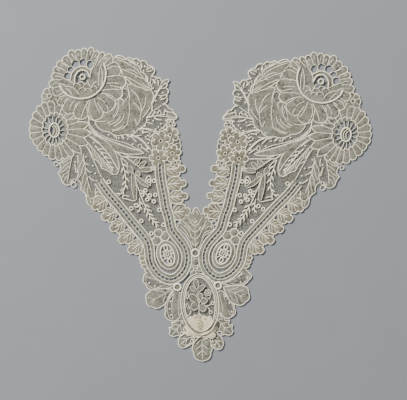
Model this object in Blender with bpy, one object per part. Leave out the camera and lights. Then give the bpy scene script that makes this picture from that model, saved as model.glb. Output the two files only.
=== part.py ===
"""A lace jabot, a V-shaped collar front of needle lace, laid flat on its surface.

Metres, +Z up. The lace rests on z = 0 and its neck edge points to +Y.
The motifs are drafted on squared paper, as needle lace is. A place is a column, counted from the left
edge of the draft, and a row, counted from its top. Every motif is a flat plate of cloth. Neighbours are
cut a seam apart, in the order in which the maker lays them, and the raised work lies on the plates.
"""

import math

import bmesh
import bpy
import numpy as np

SQUARE = 0.00075
CENTRE_COLUMN = 200.35
CENTRE_ROW = 204.4

WALL = 0.0012
SEAM = 0.0003
RAISED_FLOOR = WALL + SEAM
RAISED_TOP = RAISED_FLOOR + 0.0010
MOST_MITRE = 2.0
CAP_WELD = 1e-6
CUT_WELD = 2e-5
FLAT_ANGLE = 0.001

BRAID_WIDTH = 0.0079
BOWL_WIDTH = 0.0023
HUNG_BAR_WIDTH = 0.0011

# The right arm is the left one turned over, and it lies a little askew, as cloth does.
MIRROR_COLUMN = 200.0
LEFT_EYE = (168.0, 255.0)
RIGHT_EYE = (223.4, 253.9)
ACROSS_TURN = math.radians(1.7)
ACROSS_STRETCH = 1.01
DOWN_TURN = math.radians(3.7)
DOWN_STRETCH = 0.985

# Name: base colour, roughness.
THREADS = {
    "toile": ((0.52, 0.49, 0.41), 0.85),
    "net": ((0.42, 0.40, 0.34), 0.9),
    "cord": ((0.66, 0.63, 0.54), 0.75),
    "warm_toile": ((0.60, 0.52, 0.37), 0.85),
    "cream_toile": ((0.78, 0.71, 0.56), 0.8),
}

# Rose: centre, then each petal's angle in degrees and its reach in squares.
ROSE_CENTRE = (83.0, 79.5)
ROSE_PETALS = (
    (17, 39), (42, 37.5), (52, 34), (62, 32), (74, 33), (87, 31), (100, 30), (113, 31.5),
    (130, 29.5), (147, 30.5), (160, 31), (173, 31.5), (188, 34), (205, 33), (223, 35), (243, 38),
    (266, 40), (290, 43), (314, 42), (339, 42), (356, 43),
)
# Each open hole of the rose: column, row, half its width, half its height, in squares.
ROSE_HOLES = (
    (67.6, 76.2, 2.9, 3.1),
    (71.0, 69.6, 2.7, 2.2),
    (75.6, 64.3, 3.4, 3.4),
    (83.1, 62.6, 2.8, 3.1),
    (90.2, 64.8, 2.6, 3.5),
)
BUTTON_CENTRE = (82.7, 77.2)
BUTTON_REACH = 3.2
ARCH_REACH = 6.8
BUTTON_BARS = 4
BOWL_PATH = (
    (104, 63), (106, 70), (106, 77), (104, 84), (99.5, 91), (91, 97), (80, 99), (70, 96.5),
    (63, 91), (60, 85),
)

DAISY_CENTRE = (54.0, 130.5)
DAISY_PETALS = (
    (11, 36), (28, 30), (45, 27), (62, 26), (79, 27), (97, 29.5), (110, 29.7), (124, 28.8), (139, 26.6),
    (159, 25), (178, 24.5), (195, 24.5), (214, 24), (233, 25), (250, 26.6), (266, 29), (281, 30.6),
    (294, 31), (305, 32), (320, 36), (338, 37), (355, 37),
)
DAISY_SLOTS = 15
SLOT_FROM = 7.6
SLOT_TO = 13.4
SLOT_HALF_ANGLE = math.radians(5.2)
DAISY_RING_REACH = 6.6
DAISY_RING_HOLE = 3.6

SIDE_FLORET_CENTRE = (51.5, 96.5)
SIDE_FLORET_PETALS = ((40, 10), (90, 9), (135, 9.5), (178, 9.5), (220, 10.5), (262, 12), (305, 13), (350, 10))

BRAID_PATH = (
    (160, 165), (160.5, 175), (162, 185), (164, 195), (166, 207), (169, 217), (172, 230), (178, 238),
    (184, 246), (187, 256), (185.5, 267), (179.5, 275.5), (171, 279.5), (161, 276), (154, 268.5),
    (150.5, 260), (149.5, 250), (147, 241), (138, 229.5), (131, 221), (119, 206), (107.5, 193),
    (99, 181),
)

EYE_REACH = (12.4, 16.8)
EYE_TILT = 18.0
# Each open hole of the eye: column, row, half its width, half its height, in squares.
EYE_HOLES = ((166.0, 245.6, 3.9, 2.4), (169.4, 262.6, 3.4, 2.9))

# Leaf: base and tip in squares, width in squares, lobes a side, sideways bend of its spine in squares.
LEAF_SPRAY = {
    "low": ((72, 155), (67.5, 184.5), 19.5, 3, 1.5),
    "middle": ((83, 154), (93, 199), 19.0, 4, 2.0),
    "high": ((89, 142), (117.5, 174), 17.0, 3, 0.0),
    "long": ((87, 132), (144, 153), 7.5, 3, 4.5),
}

# Outlines of arcs: each row is a corner in squares, and how far the arc to the next one bulges.
UPPER_ROSE_LEAF = (
    (113, 58, 0.10), (124, 60, 0.22), (134, 64.5, 0.22), (141, 72, 0.22), (147, 81, 0.22),
    (151, 91, 0.10), (142, 88, 0.10), (128, 80, 0.0), (112, 76, 0.0),
)
LOWER_ROSE_LEAF = (
    (151, 90, 0.18), (151.5, 103, 0.20), (147, 117, 0.20), (138.5, 129, 0.20), (125, 134.5, 0.15),
    (109, 132, 0.15), (96, 124.5, 0.0), (92, 112, 0.0), (112, 104, 0.0), (120, 76, 0.0),
    (138, 80, 0.0),
)
TIP_NET = (
    (115, 57, 0.20), (126, 59.5, 0.28), (133, 60, 0.28), (140, 61.8, 0.28), (148, 65.3, 0.45),
    (151, 77, 0.20), (156.5, 78.5, 0.30), (161.5, 81, 0.50), (166, 88, 0.40), (165.3, 95.5, 0.40),
    (162.5, 104.5, 0.20), (169, 109, 0.20), (174, 113, 0.60), (172, 120, 0.0), (170, 150, 0.0),
    (150, 158, 0.0), (122, 157, 0.0), (104, 140, 0.0), (90, 128, 0.0), (88, 112, 0.0), (118, 100, 0.0),
    (124, 74, 0.0),
)
PANEL_NET = (
    (166, 160, 0.0), (168, 205, 0.0), (175, 232, 0.0), (166, 243, 0.0), (150, 247, 0.0),
    (126, 215, 0.0), (99, 184, 0.0), (104, 160, 0.0), (118, 148, 0.0), (150, 150, 0.0),
)
FLORETS_CENTRE = (165.5, 146.5)
FLORETS_PETALS = (
    (75, 23), (52, 20), (25, 16), (2, 15.5), (-25, 17), (-52, 18.5), (-80, 18.5), (-108, 18.5),
    (-130, 17.5), (-155, 14.5), (175, 13), (150, 15.5), (128, 16), (102, 18),
)

# Border leaf: base column and row, tip column and row, width, lobes a side.
INNER_BORDER = (
    (170.7, 168.5, 185.5, 169.0, 13.6, 2),
    (172.7, 182.2, 186.2, 183.0, 12.8, 2),
    (174.9, 194.5, 187.7, 195.3, 10.4, 2),
    (177.1, 203.9, 188.3, 204.0, 7.2, 1),
    (178.6, 211.0, 189.8, 211.2, 6.8, 1),
    (180.0, 217.8, 187.0, 217.8, 6.0, 1),
)
INNER_BORDER_BACK = ((171, 224), (166, 207), (164, 195), (162, 185), (160.5, 175), (160, 164))
OUTER_BORDER = (
    (102.2, 202.5, 92.0, 207.7, 14.0, 2),
    (111.8, 213.7, 102.2, 218.6, 13.4, 2),
    (120.2, 224.6, 110.7, 229.7, 12.6, 2),
    (128.8, 234.9, 119.4, 241.9, 12.4, 2),
    (137.2, 246.1, 128.8, 252.0, 12.6, 2),
    (141.6, 255.8, 138.2, 256.4, 4.8, 1),
    (142.6, 260.8, 139.4, 262.0, 4.8, 1),
    (144.3, 265.4, 141.6, 267.4, 4.8, 1),
    (146.6, 269.6, 144.2, 272.0, 4.6, 1),
)
OUTER_BORDER_BACK = (
    (154, 268.5), (150.5, 260), (149.5, 250), (147, 241), (138, 229.5), (131, 221), (119, 206),
    (107, 194),
)

# Sprays that lie on the panel: their stem, then the leaflets that stand out from it.
FERN_STEM = ((122, 160), (123, 170), (124.5, 180), (122.5, 190), (118, 196))
FERN_LEAFLETS = 6
FERN_LEAFLET = 4.8
LILY_STEM = ((140, 170), (137.5, 182), (140, 196), (147, 210), (157.5, 224))
LILY_LEAFLETS = 8
LILY_LEAFLET = 5.8
STEM_WIDTH = 2.2

PALMETTE_CENTRE = (196.0, 228.0)
PALMETTE_PETALS = (
    (93, 21.5), (72, 16), (52, 14.5), (32, 15.5), (10, 17.5), (-12, 17.5), (-38, 12), (-68, 13), (-88, 22),
    (-112, 13), (-138, 12), (-166, 17), (172, 18), (150, 16.5), (132, 15.5), (112, 16.5),
)
CENTRE_RING = (195.5, 253.0)
CENTRE_RING_REACH = 4.6
CENTRE_RING_HOLE = 1.6
BERRIES_CENTRE = (195.5, 266.5)
BERRIES_NOTCH = 0.7
BERRIES_PETALS = ((92, 9.5), (-12, 8.0), (-90, 7.0), (192, 8.0))
JOINING_RINGS = {"left": (177.5, 287.0), "right": (218.0, 285.5)}
JOINING_RING_REACH = 4.2
JOINING_RING_HOLE = 1.5

PENDANT_CENTRE = (200.0, 304.0)
PENDANT_REACH = (19.5, 31.0)
PENDANT_HOLE = (14.8, 26.3)
PENDANT_TILT = 4.0
SPRAY_CENTRE = (202.0, 299.0)
SPRAY_NOTCH = 0.72
SPRAY_PETALS = (
    (115, 19), (85, 14), (55, 12), (20, 10), (-22, 12), (-58, 14), (-95, 13.5), (-122, 16), (-150, 14),
    (175, 11), (148, 13),
)
FLOWER_CENTRE = (199.5, 325.5)
FLOWER_NOTCH = 0.86
FLOWER_PETALS = (
    (90, 9.5), (62, 11), (38, 14.5), (12, 16.5), (-12, 17.5), (-35, 20), (-62, 15.5), (-90, 13),
    (-118, 15.5), (-145, 20), (-172, 17.5), (165, 16.5), (140, 14), (116, 10.5),
)

FAN_LEAVES = {
    "upper_left": (
        (152, 269, -0.08), (160, 282, -0.05), (175, 284.5, 0.0), (170, 288, 0.0), (153, 289.5, 0.25),
        (146, 284, 0.25), (143.8, 278, 0.20), (147, 273, 0.15),
    ),
    "middle_left": (
        (173, 289.5, 0.0), (158, 288, 0.20), (150, 292, 0.25), (146.5, 299.5, 0.25), (152.5, 307, 0.20),
        (162, 306, 0.15), (168, 298, 0.0),
    ),
    "lower_left": (
        (175, 290, 0.05), (168, 300, 0.15), (166, 311, 0.25), (170, 320.5, 0.20), (180, 317, 0.0),
        (184, 303, 0.0), (181, 293, 0.0),
    ),
    "upper_right": (
        (221, 283, 0.0), (235, 279, -0.08), (244.5, 270, 0.20), (250, 273.5, 0.25), (250, 279.5, 0.20),
        (242, 285, 0.10), (231, 286, 0.0),
    ),
    "middle_right": (
        (223, 287, 0.0), (234, 285.5, 0.10), (243, 286, 0.25), (248.5, 293, 0.25), (245.5, 302, 0.20),
        (236, 304.5, 0.15), (228, 297, 0.0),
    ),
    "lower_right": (
        (221, 290, 0.0), (229, 298, 0.12), (234.5, 308, 0.25), (232, 316.5, 0.25), (222, 315, 0.05),
        (216, 303, 0.0), (216, 293, 0.0),
    ),
}
# Leaf: base and tip in squares, width in squares, lobes a side, sideways bend of its spine in squares.
FOOT_LEAVES = {
    "foot_leaf": ((203.5, 335.5), (201.0, 361.0), 20.0, 3, 0.0),
    "serrated_leaf_left": ((184, 318), (171.5, 335.0), 13.5, 3, -1.0),
    "serrated_leaf_right": ((216, 316.5), (231.0, 333.5), 14.5, 3, 1.0),
    "lower_leaf_left": ((201, 333), (179.0, 346.0), 14.0, 2, 2.0),
    "lower_leaf_right": ((206, 333), (221.5, 348.5), 14.0, 2, -1.5),
}
LOBE_DEPTH = 0.22
LEAF_FULLNESS = 0.55
# The stretch of a half sine that a leaf's width follows from its base to its tip.
LEAF_START = 0.12
LEAF_STRETCH = 0.80
FERN_START = 0.15
FERN_STRETCH = 0.70


def smooth(points, steps, closed=False):
    """Points on a Catmull-Rom curve through the given ones, so many steps to a span."""
    points = np.asarray(points, float)
    if closed:
        padded = np.vstack([points[-1], points, points[:2]])
    else:
        padded = np.vstack([2 * points[0] - points[1], points, 2 * points[-1] - points[-2]])
    before, start, end, after = padded[:-3], padded[1:-2], padded[2:-1], padded[3:]
    t = (np.arange(steps) / steps)[None, :, None]
    before, start, end, after = (row[:, None, :] for row in (before, start, end, after))
    curve = start + 0.5 * t * (end - before)
    curve = curve + t**2 * (before - 2.5 * start + 2 * end - 0.5 * after)
    curve = curve + t**3 * (1.5 * start - 1.5 * end + 0.5 * (after - before))
    curve = curve.reshape(-1, 2)
    return curve if closed else np.vstack([curve, points[-1]])


def arcs(corners, steps=4):
    """A closed outline whose spans are arcs: each bulges out by its share of the span."""
    table = np.asarray(corners, float)
    start, bulge = table[:, :2], table[:, 2]
    end = np.roll(start, -1, axis=0)
    outline = []
    turn = 1.0 if signed_area(start) > 0 else -1.0
    for near, far, rise in zip(start, end, bulge):
        count = steps if rise else 1
        along = np.arange(count)[:, None] / count
        side = turn * np.array([far[1] - near[1], near[0] - far[0]])
        outline.append(near + along * (far - near) + 4 * rise * along * (1 - along) * side)
    return np.vstack(outline)


def flower(centre, petals, notch=0.9, steps=4):
    """Round petals about a centre: between its two notches each one's reach swells like a half circle."""
    table = np.asarray(sorted((angle % 360, reach) for angle, reach in petals))
    angle, reach = table[:, 0], table[:, 1]
    after = np.roll(angle, -1) + 360 * (np.arange(len(angle)) == len(angle) - 1)
    gap_after = (after - angle) / 2
    gap_before = np.roll(gap_after, 1)
    depth_after = notch * np.minimum(reach, np.roll(reach, -1))
    depth_before = np.roll(depth_after, 1)
    share = -1 + 2 * np.arange(steps)[None, :] / steps
    rise = np.sqrt(1 - share**2)
    low = np.where(share < 0, depth_before[:, None], depth_after[:, None])
    turned = angle[:, None] + np.where(share < 0, gap_before[:, None], gap_after[:, None]) * share
    far = low + (reach[:, None] - low) * rise
    turned = np.radians(turned.ravel())
    far = far.ravel()
    return np.asarray(centre) + np.column_stack([far * np.cos(turned), -far * np.sin(turned)])


def leaf(base, tip, width, lobes, bend=0.0):
    """A lobed leaf on a bent spine: its half width follows a sine, pulled in at the notches between lobes."""
    base, tip = np.asarray(base, float), np.asarray(tip, float)
    steps = 3 * lobes + 1
    along = np.arange(steps) / (steps - 0.5)
    spine = tip - base
    side = np.array([-spine[1], spine[0]]) / np.hypot(*spine)
    middle = base + along[:, None] * spine + (4 * bend * along * (1 - along))[:, None] * side
    half = width / 2 * np.sin(math.pi * (LEAF_START + LEAF_STRETCH * along)) ** LEAF_FULLNESS
    half = half * (1 - LOBE_DEPTH + LOBE_DEPTH * np.abs(np.sin(math.pi * lobes * along)))
    left = middle + half[:, None] * side
    right = middle - half[:, None] * side
    return np.vstack([left, tip, right[::-1]])


def ribbon(path, width, steps=3):
    """A band of one width along a smooth path."""
    middle = smooth(path, steps)
    along = np.gradient(middle, axis=0)
    along /= np.hypot(along[:, 0], along[:, 1])[:, None]
    side = np.column_stack([-along[:, 1], along[:, 0]]) * width / 2
    return np.vstack([middle + side, (middle - side)[::-1]])


def fern(stem, leaflets, reach, steps=3):
    """A stem with round leaflets on both sides: the band's half width swells out and back for each."""
    middle = smooth(stem, max(1, leaflets * steps // (len(stem) - 1) + 1))
    along = np.gradient(middle, axis=0)
    along /= np.hypot(along[:, 0], along[:, 1])[:, None]
    share = np.linspace(0, 1, len(middle))
    swell = np.abs(np.sin(math.pi * leaflets * share))
    swell *= np.sin(math.pi * (FERN_START + FERN_STRETCH * share))
    half = STEM_WIDTH / 2 + (reach - STEM_WIDTH / 2) * swell
    side = np.column_stack([-along[:, 1], along[:, 0]]) * half[:, None]
    return np.vstack([middle + side, (middle - side)[::-1]])


def comb(leaves, back):
    """One outline for a row of leaves that share a strip: out round each leaf, then home along the back."""
    down = np.subtract(leaves[-1][0:2], leaves[0][0:2])
    rows = []
    for row in leaves:
        out = np.subtract(row[2:4], row[0:2])
        outline = leaf(row[0:2], row[2:4], row[4], row[5])
        rows.append(outline if out[0] * down[1] < out[1] * down[0] else outline[::-1])
    return np.vstack([*rows, np.asarray(back, float)])


def ellipse(centre, reach, tilt=0.0, steps=24):
    """An ellipse whose upper end leans to the left by its tilt in degrees."""
    turn = 2 * math.pi * np.arange(steps) / steps
    lean = math.radians(tilt)
    across, up = reach[0] * np.cos(turn), reach[1] * np.sin(turn)
    column = across * math.cos(lean) - up * math.sin(lean)
    row = across * math.sin(lean) + up * math.cos(lean)
    return np.asarray(centre) + np.column_stack([column, -row])


def circle(centre, reach, steps=14):
    """A circle on the draft."""
    return ellipse(centre, (reach, reach), steps=steps)


def hung_gaps():
    """The arched gap round the rose's button, parted by the bars that hold it."""
    gaps = []
    half_bar = HUNG_BAR_WIDTH / SQUARE / 2
    for number in range(BUTTON_BARS):
        start = 2 * math.pi * number / BUTTON_BARS
        end = start + 2 * math.pi / BUTTON_BARS
        sector = []
        for reach, turns in ((BUTTON_REACH, (start, end)), (ARCH_REACH, (end, start))):
            clear = math.asin(half_bar / reach) * (1 if turns[0] == start else -1)
            for turn in np.linspace(turns[0] + clear, turns[1] - clear, 4):
                sector.append((reach * math.cos(turn), -reach * math.sin(turn)))
        gaps.append(np.asarray(BUTTON_CENTRE) + np.asarray(sector))
    return gaps


def daisy_slots():
    """The open slots round the daisy's centre, each wider towards its outer end."""
    slots = []
    for number in range(DAISY_SLOTS):
        turn = 2 * math.pi * (number + 0.5) / DAISY_SLOTS
        corners = [
            (reach * math.cos(turn + side), -reach * math.sin(turn + side))
            for reach, side in (
                (SLOT_FROM, -SLOT_HALF_ANGLE),
                (SLOT_TO, -SLOT_HALF_ANGLE),
                (SLOT_TO, SLOT_HALF_ANGLE),
                (SLOT_FROM, SLOT_HALF_ANGLE),
            )
        ]
        slots.append(np.asarray(DAISY_CENTRE) + np.asarray(corners))
    return slots


def squares(metres):
    """A real width in squares of the draft."""
    return metres / SQUARE


def on_left(outline):
    """The left arm lies as it is drafted."""
    return outline


def on_right(outline):
    """The right arm: mirrored, then set by its eye, a little askew."""
    outline = np.asarray(outline, float)
    eye = np.array([2 * MIRROR_COLUMN - LEFT_EYE[0], LEFT_EYE[1]])
    away = np.column_stack([2 * MIRROR_COLUMN - outline[:, 0], outline[:, 1]]) - eye
    across = ACROSS_STRETCH * np.array([math.cos(ACROSS_TURN), math.sin(ACROSS_TURN)])
    down = DOWN_STRETCH * np.array([-math.sin(DOWN_TURN), math.cos(DOWN_TURN)])
    return np.asarray(RIGHT_EYE) + away[:, :1] * across + away[:, 1:] * down


def signed_area(outline):
    """Twice the area inside an outline, positive where it runs counterclockwise."""
    ahead = np.roll(outline, -1, axis=0)
    return float((outline[:, 0] * ahead[:, 1] - ahead[:, 0] * outline[:, 1]).sum())


def to_metres(outline):
    """The draft's columns and rows as places on the table."""
    place = np.column_stack([outline[:, 0] - CENTRE_COLUMN, CENTRE_ROW - outline[:, 1]]) * SQUARE
    return place if signed_area(place) > 0 else place[::-1]


def grown(outline, width):
    """A counterclockwise outline moved outwards: each corner goes out along its mitre."""
    ahead = np.roll(outline, -1, axis=0) - outline
    ahead /= np.hypot(ahead[:, 0], ahead[:, 1])[:, None]
    facing = np.column_stack([ahead[:, 1], -ahead[:, 0]])
    before = np.roll(facing, 1, axis=0)
    mitre = facing + before
    mitre /= np.maximum(1 + (facing * before).sum(axis=1), 0.2)[:, None]
    length = np.hypot(mitre[:, 0], mitre[:, 1])[:, None]
    return outline + width * mitre * np.minimum(1, MOST_MITRE / np.maximum(length, 1e-6))


def thread(name):
    """The material of one kind of work."""
    material = bpy.data.materials.get(name)
    if material is None:
        colour, roughness = THREADS[name]
        material = bpy.data.materials.new(name)
        material.use_nodes = True
        shader = material.node_tree.nodes["Principled BSDF"]
        shader.inputs["Base Color"].default_value = (*colour, 1.0)
        shader.inputs["Roughness"].default_value = roughness
        shader.inputs["Metallic"].default_value = 0.0
        material.diffuse_color = (*colour, 1.0)
    return material


def as_mesh(holder, name, collection):
    """The evaluated shape of an object as a mesh object of its own, with its caps welded on."""
    bpy.context.view_layer.update()
    graph = bpy.context.evaluated_depsgraph_get()
    mesh = bpy.data.meshes.new_from_object(holder.evaluated_get(graph))
    mesh.transform(holder.matrix_world)
    bpy.data.objects.remove(holder)
    work = bmesh.new()
    work.from_mesh(mesh)
    bmesh.ops.remove_doubles(work, verts=work.verts, dist=CAP_WELD)
    bmesh.ops.recalc_face_normals(work, faces=work.faces)
    work.to_mesh(mesh)
    work.free()
    made = bpy.data.objects.new(name, mesh)
    collection.objects.link(made)
    return made


def plate(name, outlines, floor, top, collection):
    """A flat plate: a filled 2D curve as thick as the cloth. Outlines inside the first are its holes."""
    curve = bpy.data.curves.new(name, "CURVE")
    curve.dimensions = "2D"
    curve.fill_mode = "BOTH"
    curve.extrude = (top - floor) / 2
    for outline in outlines:
        spline = curve.splines.new("POLY")
        spline.points.add(len(outline) - 1)
        corners = np.column_stack([outline, np.zeros(len(outline)), np.ones(len(outline))])
        spline.points.foreach_set("co", corners.ravel())
        spline.use_cyclic_u = True
    holder = bpy.data.objects.new(name, curve)
    holder.location.z = (floor + top) / 2
    collection.objects.link(holder)
    return as_mesh(holder, name, collection)


def keep_largest(piece):
    """Leaves one closed body: the largest island that the cuts have left."""
    work = bmesh.new()
    work.from_mesh(piece.data)
    work.faces.ensure_lookup_table()
    unseen = set(work.faces)
    islands = []
    while unseen:
        island, front = set(), [unseen.pop()]
        while front:
            face = front.pop()
            island.add(face)
            linked = {other for edge in face.edges for other in edge.link_faces} & unseen
            unseen -= linked
            front.extend(linked)
        islands.append(island)
    largest = max(islands, key=lambda island: sum(face.calc_area() for face in island))
    spare = [face for island in islands if island is not largest for face in island]
    bmesh.ops.delete(work, geom=spare, context="FACES")
    bmesh.ops.remove_doubles(work, verts=work.verts, dist=CUT_WELD)
    bmesh.ops.dissolve_limit(work, angle_limit=FLAT_ANGLE, verts=work.verts, edges=work.edges)
    bmesh.ops.triangulate(work, faces=work.faces)
    bmesh.ops.recalc_face_normals(work, faces=work.faces)
    work.to_mesh(piece.data)
    work.free()


def boxes_meet(first, second):
    """Whether two outlines' boxes overlap."""
    return bool((first.min(0) < second.max(0)).all() and (second.min(0) < first.max(0)).all())


class Pillow:
    """The lace as it grows: each piece laid is cut a seam clear of those laid before it."""

    def __init__(self, shown, cutters):
        self.shown = shown
        self.cutters = cutters
        self.laid = []

    def lay(self, name, material, outline, holes=()):
        """Lays one piece flat on the table."""
        outlines = [to_metres(outline), *(to_metres(hole) for hole in holes)]
        piece = plate(name, outlines, 0.0, WALL, self.shown)
        for other, cutter in self.laid:
            if boxes_meet(outlines[0], other):
                cut = piece.modifiers.new("seam_" + cutter.name, "BOOLEAN")
                cut.operation = "DIFFERENCE"
                cut.object = cutter
        piece = as_mesh(piece, name, self.shown)
        piece.name = name
        keep_largest(piece)
        piece.data.materials.clear()
        piece.data.materials.append(thread(material))
        wide = grown(outlines[0], SEAM)
        cutter = plate("cutter_" + name, [wide], -WALL, 2 * WALL, self.cutters)
        cutter.hide_render = True
        cutter.display_type = "WIRE"
        self.laid.append((wide, cutter))

    def raise_on(self, name, material, outline, holes=()):
        """Lays one raised piece on the plates, a seam above them."""
        outlines = [to_metres(outline), *(to_metres(hole) for hole in holes)]
        piece = plate(name, outlines, RAISED_FLOOR, RAISED_TOP, self.shown)
        piece.data.materials.append(thread(material))


def make_arm(pillow, side, on_arm):
    """All the pieces of one arm, in the order in which they are laid."""

    def lay(name, material, outline, holes=()):
        pillow.lay(f"{name}_{side}", material, on_arm(outline), [on_arm(hole) for hole in holes])

    def raise_on(name, material, outline, holes=()):
        pillow.raise_on(f"{name}_{side}", material, on_arm(outline), [on_arm(hole) for hole in holes])

    holes = [ellipse(row[0:2], row[2:4], steps=8) for row in ROSE_HOLES]
    lay("braid", "cord", ribbon(BRAID_PATH, squares(BRAID_WIDTH), 2))
    lay("rose", "toile", flower(ROSE_CENTRE, ROSE_PETALS), holes + hung_gaps())
    lay("daisy", "toile", flower(DAISY_CENTRE, DAISY_PETALS), daisy_slots())
    lay("side_floret", "toile", flower(SIDE_FLORET_CENTRE, SIDE_FLORET_PETALS))
    for name, row in LEAF_SPRAY.items():
        lay("spray_leaf_" + name, "toile", leaf(*row))
    lay("rose_leaf_upper", "toile", arcs(UPPER_ROSE_LEAF))
    lay("rose_leaf_lower", "toile", arcs(LOWER_ROSE_LEAF))
    lay("florets", "warm_toile", flower(FLORETS_CENTRE, FLORETS_PETALS, steps=3))
    lay("eye", "toile", ellipse(LEFT_EYE, EYE_REACH, EYE_TILT),
        [ellipse(row[0:2], row[2:4], EYE_TILT, 10) for row in EYE_HOLES])
    lay("tip_net", "net", arcs(TIP_NET))
    lay("panel_net", "net", arcs(PANEL_NET))
    raise_on("rose_heart", "cord", ribbon(BOWL_PATH, squares(BOWL_WIDTH), 2))
    raise_on("daisy_ring", "cord", circle(DAISY_CENTRE, DAISY_RING_REACH),
             [circle(DAISY_CENTRE, DAISY_RING_HOLE, 10)])
    raise_on("panel_fern", "toile", fern(FERN_STEM, FERN_LEAFLETS, FERN_LEAFLET))
    raise_on("panel_lily", "toile", fern(LILY_STEM, LILY_LEAFLETS, LILY_LEAFLET))


def make_centre(pillow):
    """The palmette, the rings and the pendant, in the order in which they are laid."""
    for side, place in JOINING_RINGS.items():
        hole = circle(place, JOINING_RING_HOLE, 8)
        pillow.lay("joining_ring_" + side, "cord", circle(place, JOINING_RING_REACH), [hole])
    hole = circle(CENTRE_RING, CENTRE_RING_HOLE, 8)
    pillow.lay("centre_ring", "cord", circle(CENTRE_RING, CENTRE_RING_REACH), [hole])
    rim = ellipse(PENDANT_CENTRE, PENDANT_REACH, PENDANT_TILT, 36)
    opening = ellipse(PENDANT_CENTRE, PENDANT_HOLE, PENDANT_TILT, 32)
    inside = ellipse(PENDANT_CENTRE, np.subtract(PENDANT_HOLE, squares(SEAM)), PENDANT_TILT, 32)
    pillow.lay("pendant_band", "cord", rim, [opening])
    for name, corners in FAN_LEAVES.items():
        pillow.lay("fan_leaf_" + name, "toile", arcs(corners))
    for name, row in FOOT_LEAVES.items():
        pillow.lay(name, "toile", leaf(*row))
    pillow.lay("berries", "toile", flower(BERRIES_CENTRE, BERRIES_PETALS, BERRIES_NOTCH, 6))
    pillow.lay("palmette", "toile", flower(PALMETTE_CENTRE, PALMETTE_PETALS))
    piece = plate("pendant_net", [to_metres(inside)], 0.0, WALL, pillow.shown)
    piece.data.materials.append(thread("net"))
    pillow.raise_on("pendant_spray", "toile", flower(SPRAY_CENTRE, SPRAY_PETALS, SPRAY_NOTCH))
    pillow.raise_on("raised_flower", "cream_toile", flower(FLOWER_CENTRE, FLOWER_PETALS, FLOWER_NOTCH))


def make_borders(pillow):
    """The lobed leaves that are sewn along the braid, last of all."""
    for side, on_arm in (("left", on_left), ("right", on_right)):
        pillow.lay("inner_border_" + side, "warm_toile", on_arm(comb(INNER_BORDER, INNER_BORDER_BACK)))
        pillow.lay("outer_border_" + side, "warm_toile", on_arm(comb(OUTER_BORDER, OUTER_BORDER_BACK)))


def main():
    for stray in list(bpy.data.objects):
        bpy.data.objects.remove(stray)
    shown = bpy.data.collections.new("lace_jabot")
    cutters = bpy.data.collections.new("cutters")
    for collection in (shown, cutters):
        bpy.context.scene.collection.children.link(collection)
    pillow = Pillow(shown, cutters)
    for side, on_arm in (("left", on_left), ("right", on_right)):
        make_arm(pillow, side, on_arm)
    make_centre(pillow)
    make_borders(pillow)


main()
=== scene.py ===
"""A lace jabot dressed for its picture: ivory needle lace laid flat on a pale table and seen from above.

Every motif is drafted on the squared paper of the solid model. A place is a column and a row of the draft,
and a height is in metres. Each surface is a grid of two parameters: a flower swells about its centre, a
leaf about its spine, and a band or a cord is a profile carried along a path. The net is real thread.
"""

import math

import bmesh
import bpy
import numpy as np
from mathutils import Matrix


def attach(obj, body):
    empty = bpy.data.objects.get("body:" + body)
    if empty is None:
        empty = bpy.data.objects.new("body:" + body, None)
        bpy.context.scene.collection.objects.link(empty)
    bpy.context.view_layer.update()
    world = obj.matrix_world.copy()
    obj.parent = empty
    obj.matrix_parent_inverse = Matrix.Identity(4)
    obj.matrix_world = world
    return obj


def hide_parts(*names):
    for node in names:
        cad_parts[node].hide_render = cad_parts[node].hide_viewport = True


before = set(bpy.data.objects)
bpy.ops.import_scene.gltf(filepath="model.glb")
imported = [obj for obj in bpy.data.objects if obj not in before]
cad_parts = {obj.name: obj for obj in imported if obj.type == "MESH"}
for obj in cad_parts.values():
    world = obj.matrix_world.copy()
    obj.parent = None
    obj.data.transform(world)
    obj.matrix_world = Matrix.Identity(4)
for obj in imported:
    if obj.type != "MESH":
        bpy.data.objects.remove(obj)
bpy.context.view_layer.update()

# A square of the draft in metres, and the column and row that lie at the origin.
SQUARE = 0.00075
CENTRE_COLUMN = 200.35
CENTRE_ROW = 204.4
# How the right arm lies: mirrored about a column, then set by its eye with a slight turn and stretch.
MIRROR_COLUMN = 200.0
LEFT_EYE = (168, 255)
RIGHT_EYE = (223.4, 253.9)
ACROSS_TURN = math.radians(1.7)
ACROSS_STRETCH = 1.01
DOWN_TURN = math.radians(3.7)
DOWN_STRETCH = 0.985

# Heights and thread sizes, in metres.
SHEET_TOP = 0.00062
SHEET_WALL = 0.00048
SHEET_RISE = 0.00032
NET_HEIGHT = 0.00045
# The net's thread, wide and thick, its cells' width, and how far its knots stray, in squares.
NET_THREAD = (0.00021, 0.00017)
NET_CELL = 0.00102
NET_STRAY = 0.16
RIM_HEIGHT = 0.00052
# Radii of the cords: along a rim, between petals, in a vein, and the finest.
RIM = 0.00037
PARTING = 0.00027
VEIN = 0.00021
HAIR = 0.00017
RAISED = 0.001
# Size of a surface's quads and step of a path, in squares.
FINE = 0.95
PATH_STEP = 0.5
# Small round knots: reach in squares, rise in metres, and height on the net and on the leaves.
KNOT_REACH = 0.95
KNOT_RISE = 0.0006
NET_KNOT_HEIGHT = 0.0005
LEAF_KNOT_HEIGHT = 0.0006
# The least width of a sheet's cut, and the least share of its cut that a sheet may fill.
LEAST_CUT = 0.0101
LEAST_FILL = 0.31

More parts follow.
